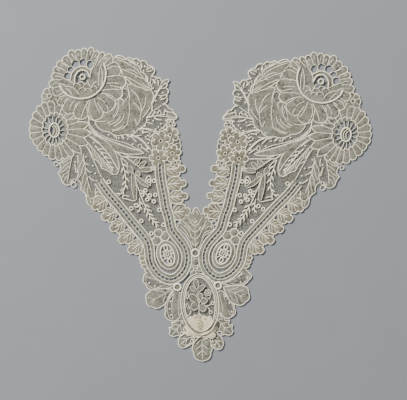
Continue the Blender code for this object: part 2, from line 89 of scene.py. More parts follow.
ROSE_CENTRE = (83, 79.5)
ROSE_PETALS = (
    (17, 39), (42, 37.5), (52, 34), (62, 32), (74, 33), (87, 31), (100, 30), (113, 31.5),
    (130, 29.5), (147, 30.5), (160, 31), (173, 31.5), (188, 34), (205, 33), (223, 35), (243, 38),
    (266, 40), (290, 43), (314, 42), (339, 42), (356, 43),
)
ROSE_HOLES = (
    (67.6, 76.2, 2.9, 3.1), (71, 69.6, 2.7, 2.2), (75.6, 64.3, 3.4, 3.4), (83.1, 62.6, 2.8, 3.1),
    (90.2, 64.8, 2.6, 3.5),
)
HOLE_EASE = 0.45
BUTTON_CENTRE = (82.7, 77.2)
# Gaps round the button: how many, from and to, in squares, and half the angle of the bar between two.
BUTTON_GAPS = 4
BUTTON_GAP_REACH = (3.2, 6.8)
BUTTON_BAR = 0.12
# Petals of the rose with a short line between their notches, and where that line starts and ends.
ROSE_OUTER_PETALS = range(1, 15)
ROSE_OUTER_LINE = (0.76, 0.89)
ROSE_NOTCH_LINE = 0.72
BOWL_PATH = (
    (104, 63), (106, 70), (106, 77), (104, 84), (99.5, 91), (91, 97), (80, 99), (70, 96.5),
    (63, 91), (60, 85),
)
# Each line of the rose: from column and row, by column and row, to column and row.
ROSE_LINES = (
    (99, 55, 97.5, 60, 95, 66), (95, 66, 91.5, 71, 90.5, 78), (102, 64, 99.5, 72, 99, 86),
    (105, 65, 107, 61, 112, 57), (107, 70, 112, 67, 117, 66.5), (117, 66.5, 121.5, 70, 122.5, 76),
    (107, 84, 113, 83, 120, 84), (106, 78, 110, 76.5, 114, 77), (102, 91, 110, 89.5, 121, 90),
    (123.5, 77, 126.3, 83, 121, 90), (121.5, 91, 122.8, 96, 116.5, 99.5), (101, 94, 108, 94.5, 116.5, 99.5),
    (97, 97.5, 102, 100, 105.5, 103.5), (105.5, 105, 107.8, 107.5, 108, 111),
    (94.5, 98.5, 96.5, 106, 100.5, 113.5), (89.5, 100, 84.5, 109, 81.5, 118),
    (90.5, 100.5, 89, 109, 90.5, 115), (90.5, 115, 95.5, 121.3, 106.5, 121),
    (80, 101.5, 77.5, 105, 76, 108.5), (75.5, 100.5, 71.5, 105, 69.5, 111),
    (69.5, 98, 66.5, 99.5, 64.5, 102), (67.5, 96, 60.5, 97.5, 57.3, 105), (71, 112, 69, 115, 67.5, 116),
    (70, 119.5, 75, 119, 81, 118.5), (57, 76, 66, 79.5, 76, 84.5), (58, 84.5, 62, 84, 66.5, 86.5),
    (65.5, 86.5, 74, 88.5, 79, 95), (66, 88.5, 70, 91.5, 73, 96), (57, 69.5, 61.5, 69, 66, 72),
    (61, 63, 65, 65, 70, 67), (71.5, 54, 74.5, 57, 76, 60.5), (87, 80, 89, 84, 90.5, 88),
    (92, 88.5, 93.5, 84, 98, 82), (101.5, 68, 102.5, 76, 102, 86), (103.5, 57, 105, 58.5, 108, 58),
)
ROSE_SCALLOPS = (
    (77, 87, 3.4), (81.5, 85.2, 3.2), (86.8, 87.5, 3.4), (82.5, 91.5, 3.6), (88.5, 92, 3.4), (94, 89.5, 3.2),
)
ROSE_ARCH = ((75, 84), (75.2, 77), (78.2, 72), (82.7, 70.2), (87.6, 72.3), (90.5, 78.5))
ROSE_OUTER_ARCH = ((70.5, 81.5), (71.8, 74), (76, 68.9), (82.5, 66.6), (88.2, 68.4), (92, 71.5))

DAISY_CENTRE = (54, 130.5)
DAISY_PETALS = (
    (11, 36), (28, 30), (45, 27), (62, 26), (79, 27), (97, 29.5), (110, 29.7), (124, 28.8), (139, 26.6),
    (159, 25), (178, 24.5), (195, 24.5), (214, 24), (233, 25), (250, 26.6), (266, 29), (281, 30.6),
    (294, 31), (305, 32), (320, 36), (338, 37), (355, 37),
)
# Petals within this angle of the right, in degrees, are pointed, with net behind their points.
DAISY_POINTED = 45.0
DAISY_NET = ((76, 112), (93, 116), (95, 134), (93, 147), (85, 157), (72, 158))
DAISY_SLOTS = 15
SLOT_FROM = 7.3
SLOT_TO = 14.0
# The ring of slots is an oval: its width as a share of its height. Then the middle and reach of the row of
# loops round it, and how far each loop swells.
SLOT_OVAL = (0.78, 1)
DAISY_LOOPS = ((55.4, 129.4), 15.2)
DAISY_LOOP_SWELL = 1.9
DAISY_MIDDLE = ((52.2, 130.8), (1.8, 3.6))
# Cords over the daisy's middle: from column and row, by column and row, to column and row.
DAISY_HEART = (52.4, 124.5, 57.2, 129.5, 55, 136)
DAISY_HEART_VEIN = (52, 126, 54.6, 130.5, 52.6, 135)
# Where the daisy's notch lines start: on its long petals, which reach past the limit, and on the others.
DAISY_LONG = 30
DAISY_LINES = (0.46, 0.54)
SLOT_HALF_ANGLE = math.radians(7.6)
SIDE_FLORET_CENTRE = (51.5, 96.5)
SIDE_FLORET_PETALS = (
    (40, 10), (90, 9), (135, 9.5), (178, 9.5), (220, 10.5), (262, 12), (305, 13), (350, 10),
)

BRAID_PATH = (
    (160, 165), (160.5, 175), (162, 185), (164, 195), (166, 207), (169, 217), (172, 230), (178, 238),
    (184, 246), (187, 256), (185.5, 267), (179.5, 275.5), (171, 279.5), (161, 276), (154, 268.5),
    (150.5, 260), (149.5, 250), (147, 241), (138, 229.5), (131, 221), (119, 206), (107.5, 193), (99, 181),
)
BRAID_HALF = 5.27
LADDER_HALF = 1.45
LADDER_PERIOD = 4.35
LADDER_OPEN = 0.6
# Columns of the braid's grid, as shares of half its width, and where its rolled edges swell most.
BRAID_COLUMNS = (-1, -0.8, -0.62, -0.44, -0.27, 0, 0.27, 0.44, 0.62, 0.8, 1)
BRAID_ROLL = 0.6
# Cords along the braid: kind, and distance from its middle in squares.
BRAID_CORDS = (
    ("braid_edge", -4.9), ("ladder_edge", -LADDER_HALF - 0.15), ("ladder_edge", LADDER_HALF + 0.15),
    ("braid_edge", 4.9),
)

EYE_CENTRE = (167.7, 255)
EYE_BAND = (10.5, 14.5)
EYE_NET = (12.8, 17.4)
EYE_OPENING = (6.4, 10.6)
EYE_FLOWER = (167.8, 254.4)
EYE_TILT = 18.0
# Flower of the eye: angle in degrees and reach in squares. Then its bars: from column and row, to column and
# row.
EYE_PETALS = ((97, 4.1), (52, 4.7), (12, 4.2), (-28, 4.7), (-70, 4.1), (-118, 4.7), (-165, 4.2), (148, 4.7))
EYE_BARS = (
    (163.5, 252.2, 161.6, 251.5), (171.8, 253.6, 174.4, 253.2), (163.6, 256, 161.9, 256.2),
    (171.6, 257.2, 174.2, 258.8), (170.5, 250.6, 171.6, 249.4), (164.6, 258.6, 163.6, 260.2),
    (166.6, 250.6, 166.2, 249.6), (169, 258.4, 169.3, 259.4),
)

# Leaf: base and tip in squares, width in squares, lobes a side, sideways bend of its spine in squares,
# then the net half of it: from and to along the spine, from and to across it. No net where they are equal.
LEAF_SPRAY = {
    "fork": ((92, 135.5), (119, 170), 7, 1, -5, (0, 0, 0, 0)),
    "long": ((87, 132), (144, 153), 8.2, 1, 4.5, (0, 0, 0, 0)),
    "low": ((72, 155), (66.8, 185.4), 19.5, 3, 1.5, (0, 0.88, -1, -0.2)),
    "middle": ((83, 154), (93, 199), 19, 4, 2, (0, 0.82, -1, -0.14)),
    "high": ((89, 142), (117.5, 174), 17, 3, 0, (0, 0.9, -1, 0.22)),
}
UPPER_ROSE_LEAF = (
    (113, 58, 0.1), (124, 60, 0.22), (134, 64.5, 0.22), (141, 72, 0.22), (147, 81, 0.22),
    (151, 91, 0.1), (142, 88, 0.1), (128, 80, 0), (112, 76, 0),
)
LOWER_ROSE_LEAF = (
    (151, 90, 0.18), (151.5, 103, 0.2), (147, 117, 0.2), (138.5, 129, 0.2), (125, 134.5, 0.15),
    (109, 132, 0.15), (96, 124.5, 0), (92, 112, 0), (112, 104, 0), (120, 76, 0), (138, 80, 0),
)
ROSE_LEAF_MIDDLES = ((131, 73), (126, 112))
# Openings between the rose and its lower leaf, with net across them.
ROSE_GAPS = (
    (
        (121, 91), (125.5, 88.6), (128.4, 91), (128.8, 95.5), (126, 100), (123.8, 101), (121, 99.3),
        (118.2, 100), (121.8, 97.4), (123, 94),
    ),
    ((123, 76), (126, 79), (130, 82), (133, 84.3), (128.6, 85.2), (126.4, 82)),
    ((117, 102.5), (117.6, 107), (115.2, 113), (112.6, 118), (114.2, 110)),
)
SPRAY_EDGE = (88, 148, 96.2, 165.5, 104, 182.5)
SPRAY_TIP = ((87.5, 186), (91.5, 206.5), 7.5, 2)
SPRAY_GAP = (
    (70, 150), (76, 182), (84, 188), (96, 197), (104, 183), (118, 172), (122, 157), (104, 140), (90, 134),
)
# Each line of the rose leaves: from column and row, by column and row, to column and row.
ROSE_LEAF_LINES = (
    (115, 61, 119, 67, 123, 75), (117, 60, 126, 63, 137, 69.5), (121, 69.5, 131, 73, 142, 79),
    (126, 70, 132, 70.5, 139, 75), (125, 76.5, 137, 82.5, 149.5, 91.5), (137, 69.5, 141, 75, 145, 80.5),
    (147, 78, 149, 85, 150, 91), (134, 77.5, 138.5, 77, 143, 79.5), (128, 60.5, 133, 63.5, 138, 66),
    (127.5, 87, 129.6, 94, 129.2, 102), (129.2, 102, 129.6, 112, 128, 120),
    (128, 120, 124.5, 127.5, 112, 131.5), (131, 90, 137, 95.5, 139.5, 102),
    (139.5, 102, 141.5, 108, 140.5, 117), (140.5, 117, 139.5, 122, 136.5, 126),
    (133.5, 103, 137.5, 106, 140.2, 111), (146, 97, 145, 105, 141.5, 112),
    (124.5, 113.5, 121.5, 121, 114, 126.5), (120.5, 116, 117, 121.5, 109, 125),
    (135, 119, 136.3, 122, 136.8, 125), (118.5, 101, 118.5, 110, 113.2, 119),
    (118.5, 101, 121.5, 98.6, 124.3, 101.8), (124.3, 101.8, 123, 104, 123.2, 106.5),
    (113, 120, 111, 122, 107, 123.5), (150.5, 106, 147.5, 112, 142, 118.5),
    (127, 87.5, 129.5, 84.5, 134, 84), (112, 130, 118, 129, 124, 125.5),
)

TIP_NET = (
    (115, 57, 0.2), (126, 59.5, 0.28), (133, 60, 0.28), (140, 61.8, 0.28), (148, 65.3, 0.45),
    (151, 77, 0.2), (156.5, 78.5, 0.3), (161.5, 81, 0.5), (166, 88, 0.4), (165.3, 95.5, 0.4),
    (162.5, 104.5, 0.2), (169, 109, 0.2), (174, 113, 0.6), (172, 120, 0), (170, 150, 0), (150, 158, 0),
    (122, 157, 0), (104, 140, 0), (90, 128, 0), (88, 112, 0), (118, 100, 0), (124, 74, 0),
)
# The run of the tip net, from the rose's top round its leaves to the daisy, and the share added to its width.
TIP_NET_SPARE = 1.05
TIP_NET_RUN = (
    (116, 58), (134, 61.5), (148, 72), (157, 88), (162, 104), (162, 125), (150, 140), (128, 146),
    (106, 139), (92, 128),
)
# Corded twigs of the tip net: from column and row, by column and row, to column and row.
TIP_TWIGS = (
    (143.5, 70, 144.2, 74, 144.2, 78), (151.2, 78, 150.4, 84, 150.6, 90), (150, 108, 156, 97, 160.8, 84.5),
    (160.5, 84.5, 163.5, 82, 167.5, 81), (143, 119.5, 154, 116.3, 172, 117.6),
    (147.5, 113.8, 154, 110.5, 162, 105.3), (150, 103, 151.5, 97, 151, 91),
    (141, 122.2, 146.5, 122.4, 152, 124.5), (139, 129, 148, 128.8, 158, 132),
    (130, 134.5, 135, 136.4, 141, 135.5), (131, 136, 140, 138.5, 147, 145),
    (147, 145, 150, 148.5, 152, 152.5), (112, 132, 113.5, 135, 116, 137.5), (122, 134, 123.2, 137, 125, 139),
    (133, 138, 134.5, 140, 136, 142), (154.5, 117.5, 158, 119.3, 162, 120),
    (158, 109.5, 161, 112, 160, 115.5), (165.5, 108.5, 165, 111, 167.5, 112.5),
    (159, 89, 162, 88.6, 166, 88), (157.5, 95, 161, 95.8, 165.3, 95.5), (152.5, 84, 154, 81.5, 156.5, 78.8),
    (136, 62, 135.4, 64.5, 137, 67.5), (141, 62.5, 142, 65.5, 142.5, 68), (148, 66, 147, 69, 147.5, 72),
    (90, 124, 93.5, 129, 100, 134.5), (100, 134.5, 110, 139, 121, 142), (121, 142, 130, 145, 139, 150.5),
    (92, 130.5, 97, 134.3, 103, 137.5), (118.5, 150.5, 125, 154.5, 131, 156),
    (119, 143.5, 127, 148, 135, 150.5),
)
# Leaflets and stalks of the tip net, thicker, in the same order.
TIP_LEAFLETS = (
    (143.5, 118.5, 152, 116.8, 162, 115), (162, 115, 167, 115, 171.5, 117),
    (154, 117.8, 158, 119.8, 162.4, 120), (141, 122, 147, 122.6, 153.4, 124.6),
    (139, 128.9, 146, 129.2, 153, 131.8), (153, 131.8, 157, 132, 161, 131.2),
    (131, 134.8, 136, 136.2, 141.4, 135.2), (131, 136, 134, 139.2, 137.2, 142.6),
    (134, 137, 141, 140, 150, 150), (142, 147, 145.5, 149.8, 149.4, 152.8),
    (147, 135, 149, 136, 150.5, 138), (150.5, 138, 152, 135.5, 155, 133.6),
    (146, 138.8, 148.5, 139.6, 151, 141.5), (161, 128.6, 164.5, 127, 165.8, 123.8),
    (165.8, 123.8, 168.5, 124, 171, 121), (157, 114.5, 158, 112.5, 160, 110.8),
    (152, 116.5, 153.5, 114, 156, 112.4), (164, 114.5, 164.6, 111.8, 166, 110),
    (165, 111.4, 168, 111.6, 171.4, 113.4), (144, 122.4, 147, 120.6, 150, 120),
    (142, 131.5, 146, 132.6, 149, 131.5), (113, 133, 116, 136.5, 117, 140),
    (120.5, 134.4, 122, 137, 124.5, 139.4), (126, 134.4, 129, 136.6, 132, 137),
    (152.4, 79.4, 155, 82, 156.4, 84.4), (157.6, 80, 158.6, 83, 158, 86.4),
    (143.6, 70, 144.2, 74, 144.2, 78.4), (133.8, 60.6, 134.6, 64, 134.4, 68),
    (141.2, 63, 141.6, 66, 142, 69), (147.4, 67, 148.2, 70, 149, 72), (159.4, 90, 156.4, 91.6, 154.4, 91),
    (157, 95.6, 153.6, 95.6, 152, 93.4), (153.6, 101, 151.6, 101, 150.8, 99),
)
# Leaflets in the net halves of the spray leaves, and a small leaf at each point of the tip net.
SPRAY_LEAFLETS = (
    (97.5, 150.5, 101, 149, 103.8, 150.2), (100.6, 154.6, 104.2, 153.2, 107, 154.6),
    (103.4, 159, 107, 157.8, 110, 159.6), (106, 163.6, 109.8, 162.4, 112.8, 164.4),
    (108.8, 168, 112, 167, 114.6, 168.6), (95, 145.5, 103.5, 155.5, 113.5, 170),
    (82.8, 159.6, 85.6, 163.4, 89.6, 165.4), (86, 168, 88.6, 171.2, 92.4, 172.6),
    (89, 176.4, 91.8, 179.6, 95.6, 181), (74.6, 164, 75.8, 167.6, 75.6, 171),
)
TIP_LEAVES = (
    ((161.6, 84.6), (169, 80), 3.8), ((166.6, 113.4), (176.4, 116.8), 5),
    ((146.6, 71), (153.2, 68.4), 3.6), ((160, 99), (167.2, 95.6), 3.6),
)
TIP_STALK = (151.6, 104.5, 155.2, 96.6, 162.6, 85.6)
TIP_LOOPS = ((140, 147, 1.7, 2.6), (142, 129.3, 2.4, 1.2), (169, 120.6, 2, 1.8), (146.8, 79.2, 1.3, 2.8))
TIP_KNOTS = (
    (131, 62.5), (138, 63.5), (141, 66), (145, 66.5), (153, 88.5), (163, 93), (156, 101), (155, 83),
    (158.5, 82.5), (165, 83.5), (162, 99), (153.5, 121), (161, 124), (158.5, 127), (156, 129.5), (145, 126),
    (150, 133.5), (134, 131.5), (143, 133), (128, 139), (146, 137), (148.5, 143.5), (147.5, 149),
    (109, 135), (152, 109), (155, 112.3), (166, 120.5), (119, 138.5), (133, 144.5), (157, 92), (94, 143),
    (96.5, 147.5), (102.5, 152.5), (106, 157), (112, 171), (108, 165), (75.5, 162), (76.5, 172), (86, 157),
    (93, 166), (95.5, 173.5), (96.5, 181),
)
PANEL_NET = (
    (166, 160, 0), (168, 205, 0), (175, 232, 0), (166, 243, 0), (150, 247, 0),
    (126, 215, 0), (99, 184, 0), (104, 160, 0), (118, 148, 0), (150, 150, 0),
)
FLORETS_CENTRE = (165.5, 146.5)
FLORETS_PETALS = (
    (75, 23), (52, 20), (25, 16), (2, 15.5), (-25, 17), (-52, 18.5), (-80, 18.5), (-108, 18.5),
    (-130, 17.5), (-155, 14.5), (175, 13), (150, 15.5), (128, 16), (102, 18),
)
# Floret: column, row, reach in squares, petals, turn in degrees.
FLORETS = (
    (161, 141, 9.8, 6, 20), (158.5, 158.1, 9.2, 6, 0), (172.5, 153.5, 8.8, 6, 12),
    (170.2, 135.3, 8.8, 6, 35), (170.8, 123.6, 4.6, 5, 60), (175.4, 162.8, 5.4, 5, 80),
)

# Border leaf: base column and row, tip column and row, width, lobes a side.
INNER_BORDER = (
    (168.6, 169.3, 185.6, 168.8, 14.4, 2), (170.6, 184.2, 186.4, 183.4, 13.6, 2),
    (173, 197.2, 188, 196, 12.6, 2), (176.4, 212.2, 190.6, 211.4, 15.4, 2),
)
OUTER_BORDER = (
    (102.2, 202.5, 92, 207.7, 15.6, 2), (111.8, 213.7, 102.2, 218.6, 15.6, 2),
    (120.2, 224.6, 110.7, 229.7, 15, 2), (128.8, 234.9, 119.4, 241.9, 14.8, 2),
    (137.2, 246.1, 128.8, 252, 14.4, 2), (144.8, 253.1, 138.4, 253.1, 5.6, 1),
    (145, 258.1, 139.2, 258.5, 4.8, 1), (146.2, 262, 140.2, 262.8, 4.4, 1),
    (147.6, 265.4, 141.8, 267.2, 4.8, 1), (150.4, 269, 144.8, 271.9, 4.6, 1),
)
# How far a border leaf's root lies behind its base, in squares.
BORDER_ROOT = 4.6
# Half the outline of a border leaf, from its root to its tip: along it as a share of its length, across it as
# a share of half its width, and how far the span that follows bulges out.
BORDER_EDGE = (
    (0, 0.5, 0.05), (0.2, 0.9, 0.15), (0.46, 0.98, 0.18), (0.72, 0.8, 0.15), (0.71, 0.42, 0.05),
    (0.86, 0.48, 0.2), (1, 0, 0),
)
# Rib of a border leaf: along and across where it starts, then where it ends, in the same shares.
BORDER_RIBS = ((0.02, 0.12, 0.22, 0.78), (0.14, 0.08, 0.46, 0.78), (0.34, 0.06, 0.68, 0.62))
BORDER_RIB_LENGTH = 0.68
# Opening between two border leaves: half its width at the braid, and its reach.
BORDER_OPENING = (2.8, 5.6)
# Strip that the border leaves grow from: where it starts and ends along the braid's path, as shares of it,
# and its far edge from the braid's middle at both ends, in squares. It stands to one side of the path.
INNER_STRIP = (0, 0.23, -11.2, -10.6)
OUTER_STRIP = (0.6, 0.97, -8.2, -10.8)
STRIP_NEAR = -4.6
BORDERS = {"inner_border": (INNER_BORDER, INNER_STRIP), "outer_border": (OUTER_BORDER, OUTER_STRIP)}

# Leaf of the panel: base and tip, width, lobes a side, bend, in squares.
PANEL_LEAVES = (
    ((135.6, 199.8), (132.8, 172.5), 4.8, 1, 0), ((149.8, 186.8), (135.6, 175), 4.2, 1, -1.2),
    ((133.9, 165.2), (140.2, 157.6), 4.2, 1, 0), ((139, 168.2), (146, 161.8), 4, 1, -0.4),
    ((140.8, 169.9), (153, 169.4), 5, 1, 0), ((129.2, 166.2), (131.8, 172.8), 5.4, 1, 0),
    ((136.2, 171.4), (139.6, 176), 4.6, 1, 0),
)
# Stem of the panel: path in squares, leaflets a side, their reach in squares, and the share where they start.
PANEL_STEMS = (
    (((121, 158), (124, 168), (126, 178), (125, 188), (122, 193), (118, 196)), 5, 6, 0.12),
    (
        ((135.2, 176), (137, 184), (140, 192.5), (142.5, 199.5), (147.8, 211), (152.2, 219), (159.4, 227)),
        5, 6, 0.52,
    ),
    (((118, 152), (130, 160), (141, 168.5)), 0, 0, 0),
    (((139.5, 198), (140.2, 204), (139.8, 212)), 2, 4.4, 0.2),
    (((146.5, 184), (146, 179.5), (149, 175.8), (151.2, 179), (150.5, 186)), 0, 0, 0),
    (((122, 158), (127, 163), (128.5, 167)), 0, 0, 0),
    (((140, 190), (145, 193), (149, 197), (152, 200)), 0, 0, 0),
    (((137.5, 198.5), (134, 201), (128, 199.5), (122.5, 198), (125, 195.5), (130, 197)), 0, 0, 0),
)
PANEL_RINGS = (
    (109, 182), (131.5, 208.5), (141.5, 221), (151.5, 233.5), (154, 181), (155.5, 195), (159.5, 210),
    (163.5, 225), (136.3, 205.5), (152.5, 168.8),
)
PANEL_BERRIES = ((145.5, 190.5), (142.5, 195), (150, 195.5), (147.5, 199.5), (154, 201.5), (149.3, 181))
TREFOIL = ((158.5, 233, 4), (165, 236.3, 4.5), (157, 240.8, 4.5))

PALMETTE_CENTRE = (195.6, 229)
# Edge of the palmette: column, row, and how far each span bulges out as a share of its length.
PALMETTE_EDGE = (
    (192.4, 249.5, 0), (190, 242, 0), (185.6, 234.6, 0), (179, 229, 0.4), (179, 224.6, 0.1),
    (181.4, 223.6, 0.4), (182, 219.8, 0.1), (184.6, 218.8, 0.4), (186.6, 215.6, 0.15),
    (188.8, 215.4, 0.4), (192, 213.2, 0.66), (200.4, 213, 0.1), (201.4, 215.2, 0.45), (204.8, 215.6, 0.1),
    (205.4, 218.2, 0.45), (208.6, 219, 0.1), (208.4, 221.6, 0.45), (211.4, 223.8, 0.1), (211, 226, 0.45),
    (212.8, 230.4, 0), (204.8, 235.4, 0), (201.2, 242, 0), (199, 249.5, 0),
)
# The column of the palmette's midrib. Then its ribs: the row where each leaves the midrib, and its reach.
PALMETTE_MIDRIB = 195.2
PALMETTE_RIBS = ((222.6, 2.6), (226.4, 4.6), (232.4, 6), (239.4, 5.2), (245.6, 3.4))
PALMETTE_LINES = (
    (195.2, 218.5, 195, 232, 195.6, 249), (183, 221.5, 187.5, 225.5, 190.4, 231),
    (207.6, 220.5, 204, 225, 200.8, 231), (180.6, 226.5, 185.5, 231, 189.6, 238.5),
    (206.4, 228.6, 209.6, 226.2, 212.4, 229.4), (211.8, 231, 206, 232, 202, 238.5),
    (187.6, 217, 190, 219.6, 191.6, 223.4), (203.4, 216.8, 201, 219.6, 199.4, 223.4),
    (184, 225.5, 188.4, 229.6, 191.4, 236), (206.8, 224.5, 202.4, 229.4, 199.6, 236),
    (193.4, 215.4, 194, 212.5, 195.6, 210.8), (195.6, 210.8, 197.6, 212.5, 198.6, 215.4),
)
CENTRE_RING = (195.5, 253)
RING_GAPS = (
    ((190.8, 256.6), (194.8, 258.4), (192.8, 262.4)), ((200.2, 256.4), (196.2, 258.4), (198.4, 262.4)),
)
BERRIES_CENTRE = (195.5, 266.5)
BERRIES_PETALS = ((92, 9.5), (-12, 8), (-90, 7), (192, 8))
BERRIES = (
    (195.6, 262.2, 3.6), (190.6, 268.4, 3), (200.2, 268.2, 3), (193, 272.6, 2.6), (198, 272.6, 2.6),
)
JOINING_RINGS = ((177.5, 287), (218, 285.5))

PENDANT_CENTRE = (200, 304)
PENDANT_REACH = (19.5, 31)
PENDANT_HOLE = (14.8, 26.3)
PENDANT_TILT = 4.0
PENDANT_NET_EASE = 0.3
# Petal or leaf of the pendant's spray: base and tip, width, lobes a side, bend, in squares.
SPRAY_LEAVES = (
    ((196.6, 286.8), (195.6, 279.4), 5.6, 1, 0), ((196.8, 291.4), (190.2, 287.2), 4.2, 1, 0.4),
    ((196.8, 291.8), (204.8, 285.4), 4.6, 1, -0.5), ((197.2, 301.2), (189.6, 294.6), 7, 1, 0),
    ((200.6, 298.6), (200.2, 293), 5, 1, 0), ((200.8, 301.4), (207.4, 299.6), 5.8, 1, 0),
    ((197.6, 302.8), (192, 309.4), 7.4, 1, 0), ((200.8, 304.2), (204.6, 311), 6.6, 1, 0),
    ((187.6, 291.4), (186.8, 299.2), 2.2, 1, -0.4), ((186.4, 303.2), (190, 308.8), 2.4, 1, 0.4),
)
SPRAY_STEMS = (
    ((196.4, 286), (196.8, 292), (199, 300), (199, 309), (199.3, 315.5)),
    ((205.8, 305.6), (208.6, 308), (210, 311)), ((204, 305.5), (209, 305.4), (212, 303.6)),
    ((207.2, 299.8), (210.2, 297.2), (211.4, 292.8)),
    ((190.2, 308.6), (191, 312.2), (188.4, 315.4), (186, 314.4), (185.8, 311.8)),
    ((199, 313), (202, 315.6), (204.4, 316.8)),
)
SPRAY_FLOWER = (207.8, 292.6, 3.3, 6, 10)
SPRAY_RINGS = ((195.2, 316.2), (199.3, 316), (205, 317.6), (212.8, 303.2), (210.7, 312.2), (199.2, 300.8))
FLOWER_CENTRE = (199.5, 325.5)
FLOWER_PETALS = (
    (90, 9.5), (62, 11), (38, 14.5), (12, 16), (-12, 17), (-35, 19), (-62, 15), (-90, 12.5),
    (-118, 13.5), (-145, 16), (-172, 14.6), (165, 14), (140, 13.5), (116, 10.5),
)
# Petal of the raised flower: base and tip, width, bend in squares, height of its tip in metres.
CREAM_PETALS = (
    ((197, 332.2), (186.6, 333), 6.6, 1, 0), ((203, 332.4), (214.4, 336.2), 9, -1.2, 0),
    ((197.6, 331.4), (189.4, 317.6), 12.6, 1.2, 0.0005), ((202.6, 331.6), (212.8, 319.6), 12.4, -1.2, 0.0005),
)
CREAM_KNOTS = (
    (194.8, 316.4), (198.4, 315.6), (204.6, 318.2), (199.6, 319.4), (201.6, 321.8), (199, 323.2),
    (201.4, 325), (198.6, 326.4), (200.4, 328),
)
# Reach of the cords of the pendant's band that run on over the raised flower, the row below which they do,
# and half the width of the strap between them.
CREAM_BANDS = ((16, 27), (18.6, 30.4))
CREAM_BANDS_BELOW = 319
STRAP_HALF = 1.2
# Cord that crosses under the raised flower: start, by and end in squares, and the height of both ends in
# metres.
CREAM_CROSS = (
    (217.5, 319.5, 209.5, 329.5, 201.5, 335.2, 0.0018, 0.0024),
    (201.5, 335.2, 197, 338.8, 193.4, 344.4, 0.0024, 0.001),
    (180.2, 336.6, 189.5, 332.4, 200, 335, 0.001, 0.0024),
    (200, 335, 207, 331.6, 214, 332.4, 0.0024, 0.0019), (201, 335.6, 205.5, 337.4, 210, 342, 0.0023, 0.001),
)

FAN_LEAVES = {
    "upper_left": (
        (152, 269, -0.08), (160, 282, -0.05), (175, 284.5, 0), (170, 288, 0), (153, 289.5, 0.25),
        (146, 284, 0.25), (143.8, 278, 0.2), (147, 273, 0.15),
    ),
    "middle_left": (
        (173, 289.5, 0), (158, 288, 0.2), (150, 292, 0.25), (146.5, 299.5, 0.25), (152.5, 307, 0.2),
        (162, 306, 0.15), (168, 298, 0),
    ),
    "lower_left": (
        (175, 290, 0.05), (168, 300, 0.15), (166, 311, 0.25), (170, 320.5, 0.2), (180, 317, 0),
        (184, 303, 0), (181, 293, 0),
    ),
    "upper_right": (
        (221, 283.5, 0), (235, 279, -0.08), (243.6, 269, 0.1), (248, 272, 0.1), (251.8, 276.4, 0.06),
        (248.4, 280.4, 0.1), (242.2, 285.4, 0), (231, 285.8, 0),
    ),
    "middle_right": (
        (223, 287, 0), (234, 285.5, 0.1), (243, 286, 0.25), (248.5, 293, 0.25), (245.5, 302, 0.2),
        (236, 304.5, 0.15), (228, 297, 0),
    ),
    "lower_right": (
        (221, 290, 0), (229, 298, 0.12), (234.5, 308, 0.25), (232, 316.5, 0.25), (222, 315, 0.05),
        (216, 303, 0), (216, 293, 0),
    ),
}
# Fan leaf: its middle, where its midrib starts and ends, its side ribs, then the corners of its net part.
FAN_RIBS = {
    "upper_left": (
        (156, 284), (172, 286), (149, 277), 1,
        ((146, 276), (152, 280), (161, 286.8), (153, 288), (146.8, 283.5)),
    ),
    "middle_left": ((159, 298), (171, 290.5), (150.5, 301.5), 2, ()),
    "lower_left": (
        (175, 306), (179.4, 294), (178.6, 316), 0,
        (
            (174, 293.6), (172.8, 299), (171.8, 305), (172, 312), (173, 318.4), (169.2, 317),
            (167.4, 309.5), (167.8, 303), (170.2, 298),
        ),
    ),
    "upper_right": (
        (238, 280.5), (224, 284), (245, 273), 0,
        (
            (231.5, 283.5), (240.3, 280.4), (246.3, 276.7), (250.2, 276.1), (247.3, 279.6), (242, 284),
            (236, 284.4),
        ),
    ),
    "middle_right": ((237, 294), (224, 288.5), (244, 297.5), 3, ()),
    "lower_right": (
        (224, 305), (219.6, 294), (223.6, 312), 0,
        (
            (223.6, 293.6), (228.5, 299), (232.3, 304.5), (233.6, 310), (231.9, 315), (229.6, 313.6),
            (228, 308), (226.3, 302.5), (224.2, 297.5),
        ),
    ),
}
FOOT_LEAVES = {
    "foot_leaf": ((202, 335.5), (202.6, 361.2), 20, 3, 0, (0, 0, 0, 0)),
    "serrated_leaf_left": ((184, 318), (171, 335.6), 17, 4, -1, (0, 0, 0, 0)),
    "serrated_leaf_right": ((216, 316.5), (231.6, 334), 18, 4, 1, (0, 0, 0, 0)),
    "lower_leaf_left": ((201, 333), (179, 346), 14, 2, 2, (0.2, 0.8, -0.8, -0.1)),
    "lower_leaf_right": ((206, 333), (221.5, 348.5), 14, 2, -1.5, (0.3, 0.88, 0.05, 0.8)),
}
CENTRE_KNOTS = (
    (192.6, 339.5), (190.2, 344), (187.6, 345.2), (213.2, 341.6), (214.6, 344.6), (211.6, 346),
    (231.6, 311.8), (229.6, 303), (225.4, 296.4), (247.4, 277.8), (240.6, 282.4), (170.8, 301.6),
    (169.8, 309), (170.8, 315.2), (149.5, 283), (155, 286.2),
)
LOBE_DEPTH = 0.22
SPRAY_DEPTH = 0.3
# Where the ribs of the spray's leaves start along them, and how far on each ends.
SPRAY_RIBS = (0.04, 0.2, 0.36, 0.52, 0.66)
SPRAY_RIB_LEAN = 0.29
SPRAY_RIB_REACH = 0.84
SERRATED_DEPTH = 0.42
FOOT_DEPTH = 0.1
LEAF_FULLNESS = 0.55
LEAF_START = 0.12
LEAF_STRETCH = 0.8
LEAF_ROUND = 0.12
# Leaf ribs of the fan: their lean from the midrib in degrees, and how much of the way to the edge they fill.
FAN_RIB_LEAN = 42.0
FAN_RIB_FILL = 0.78

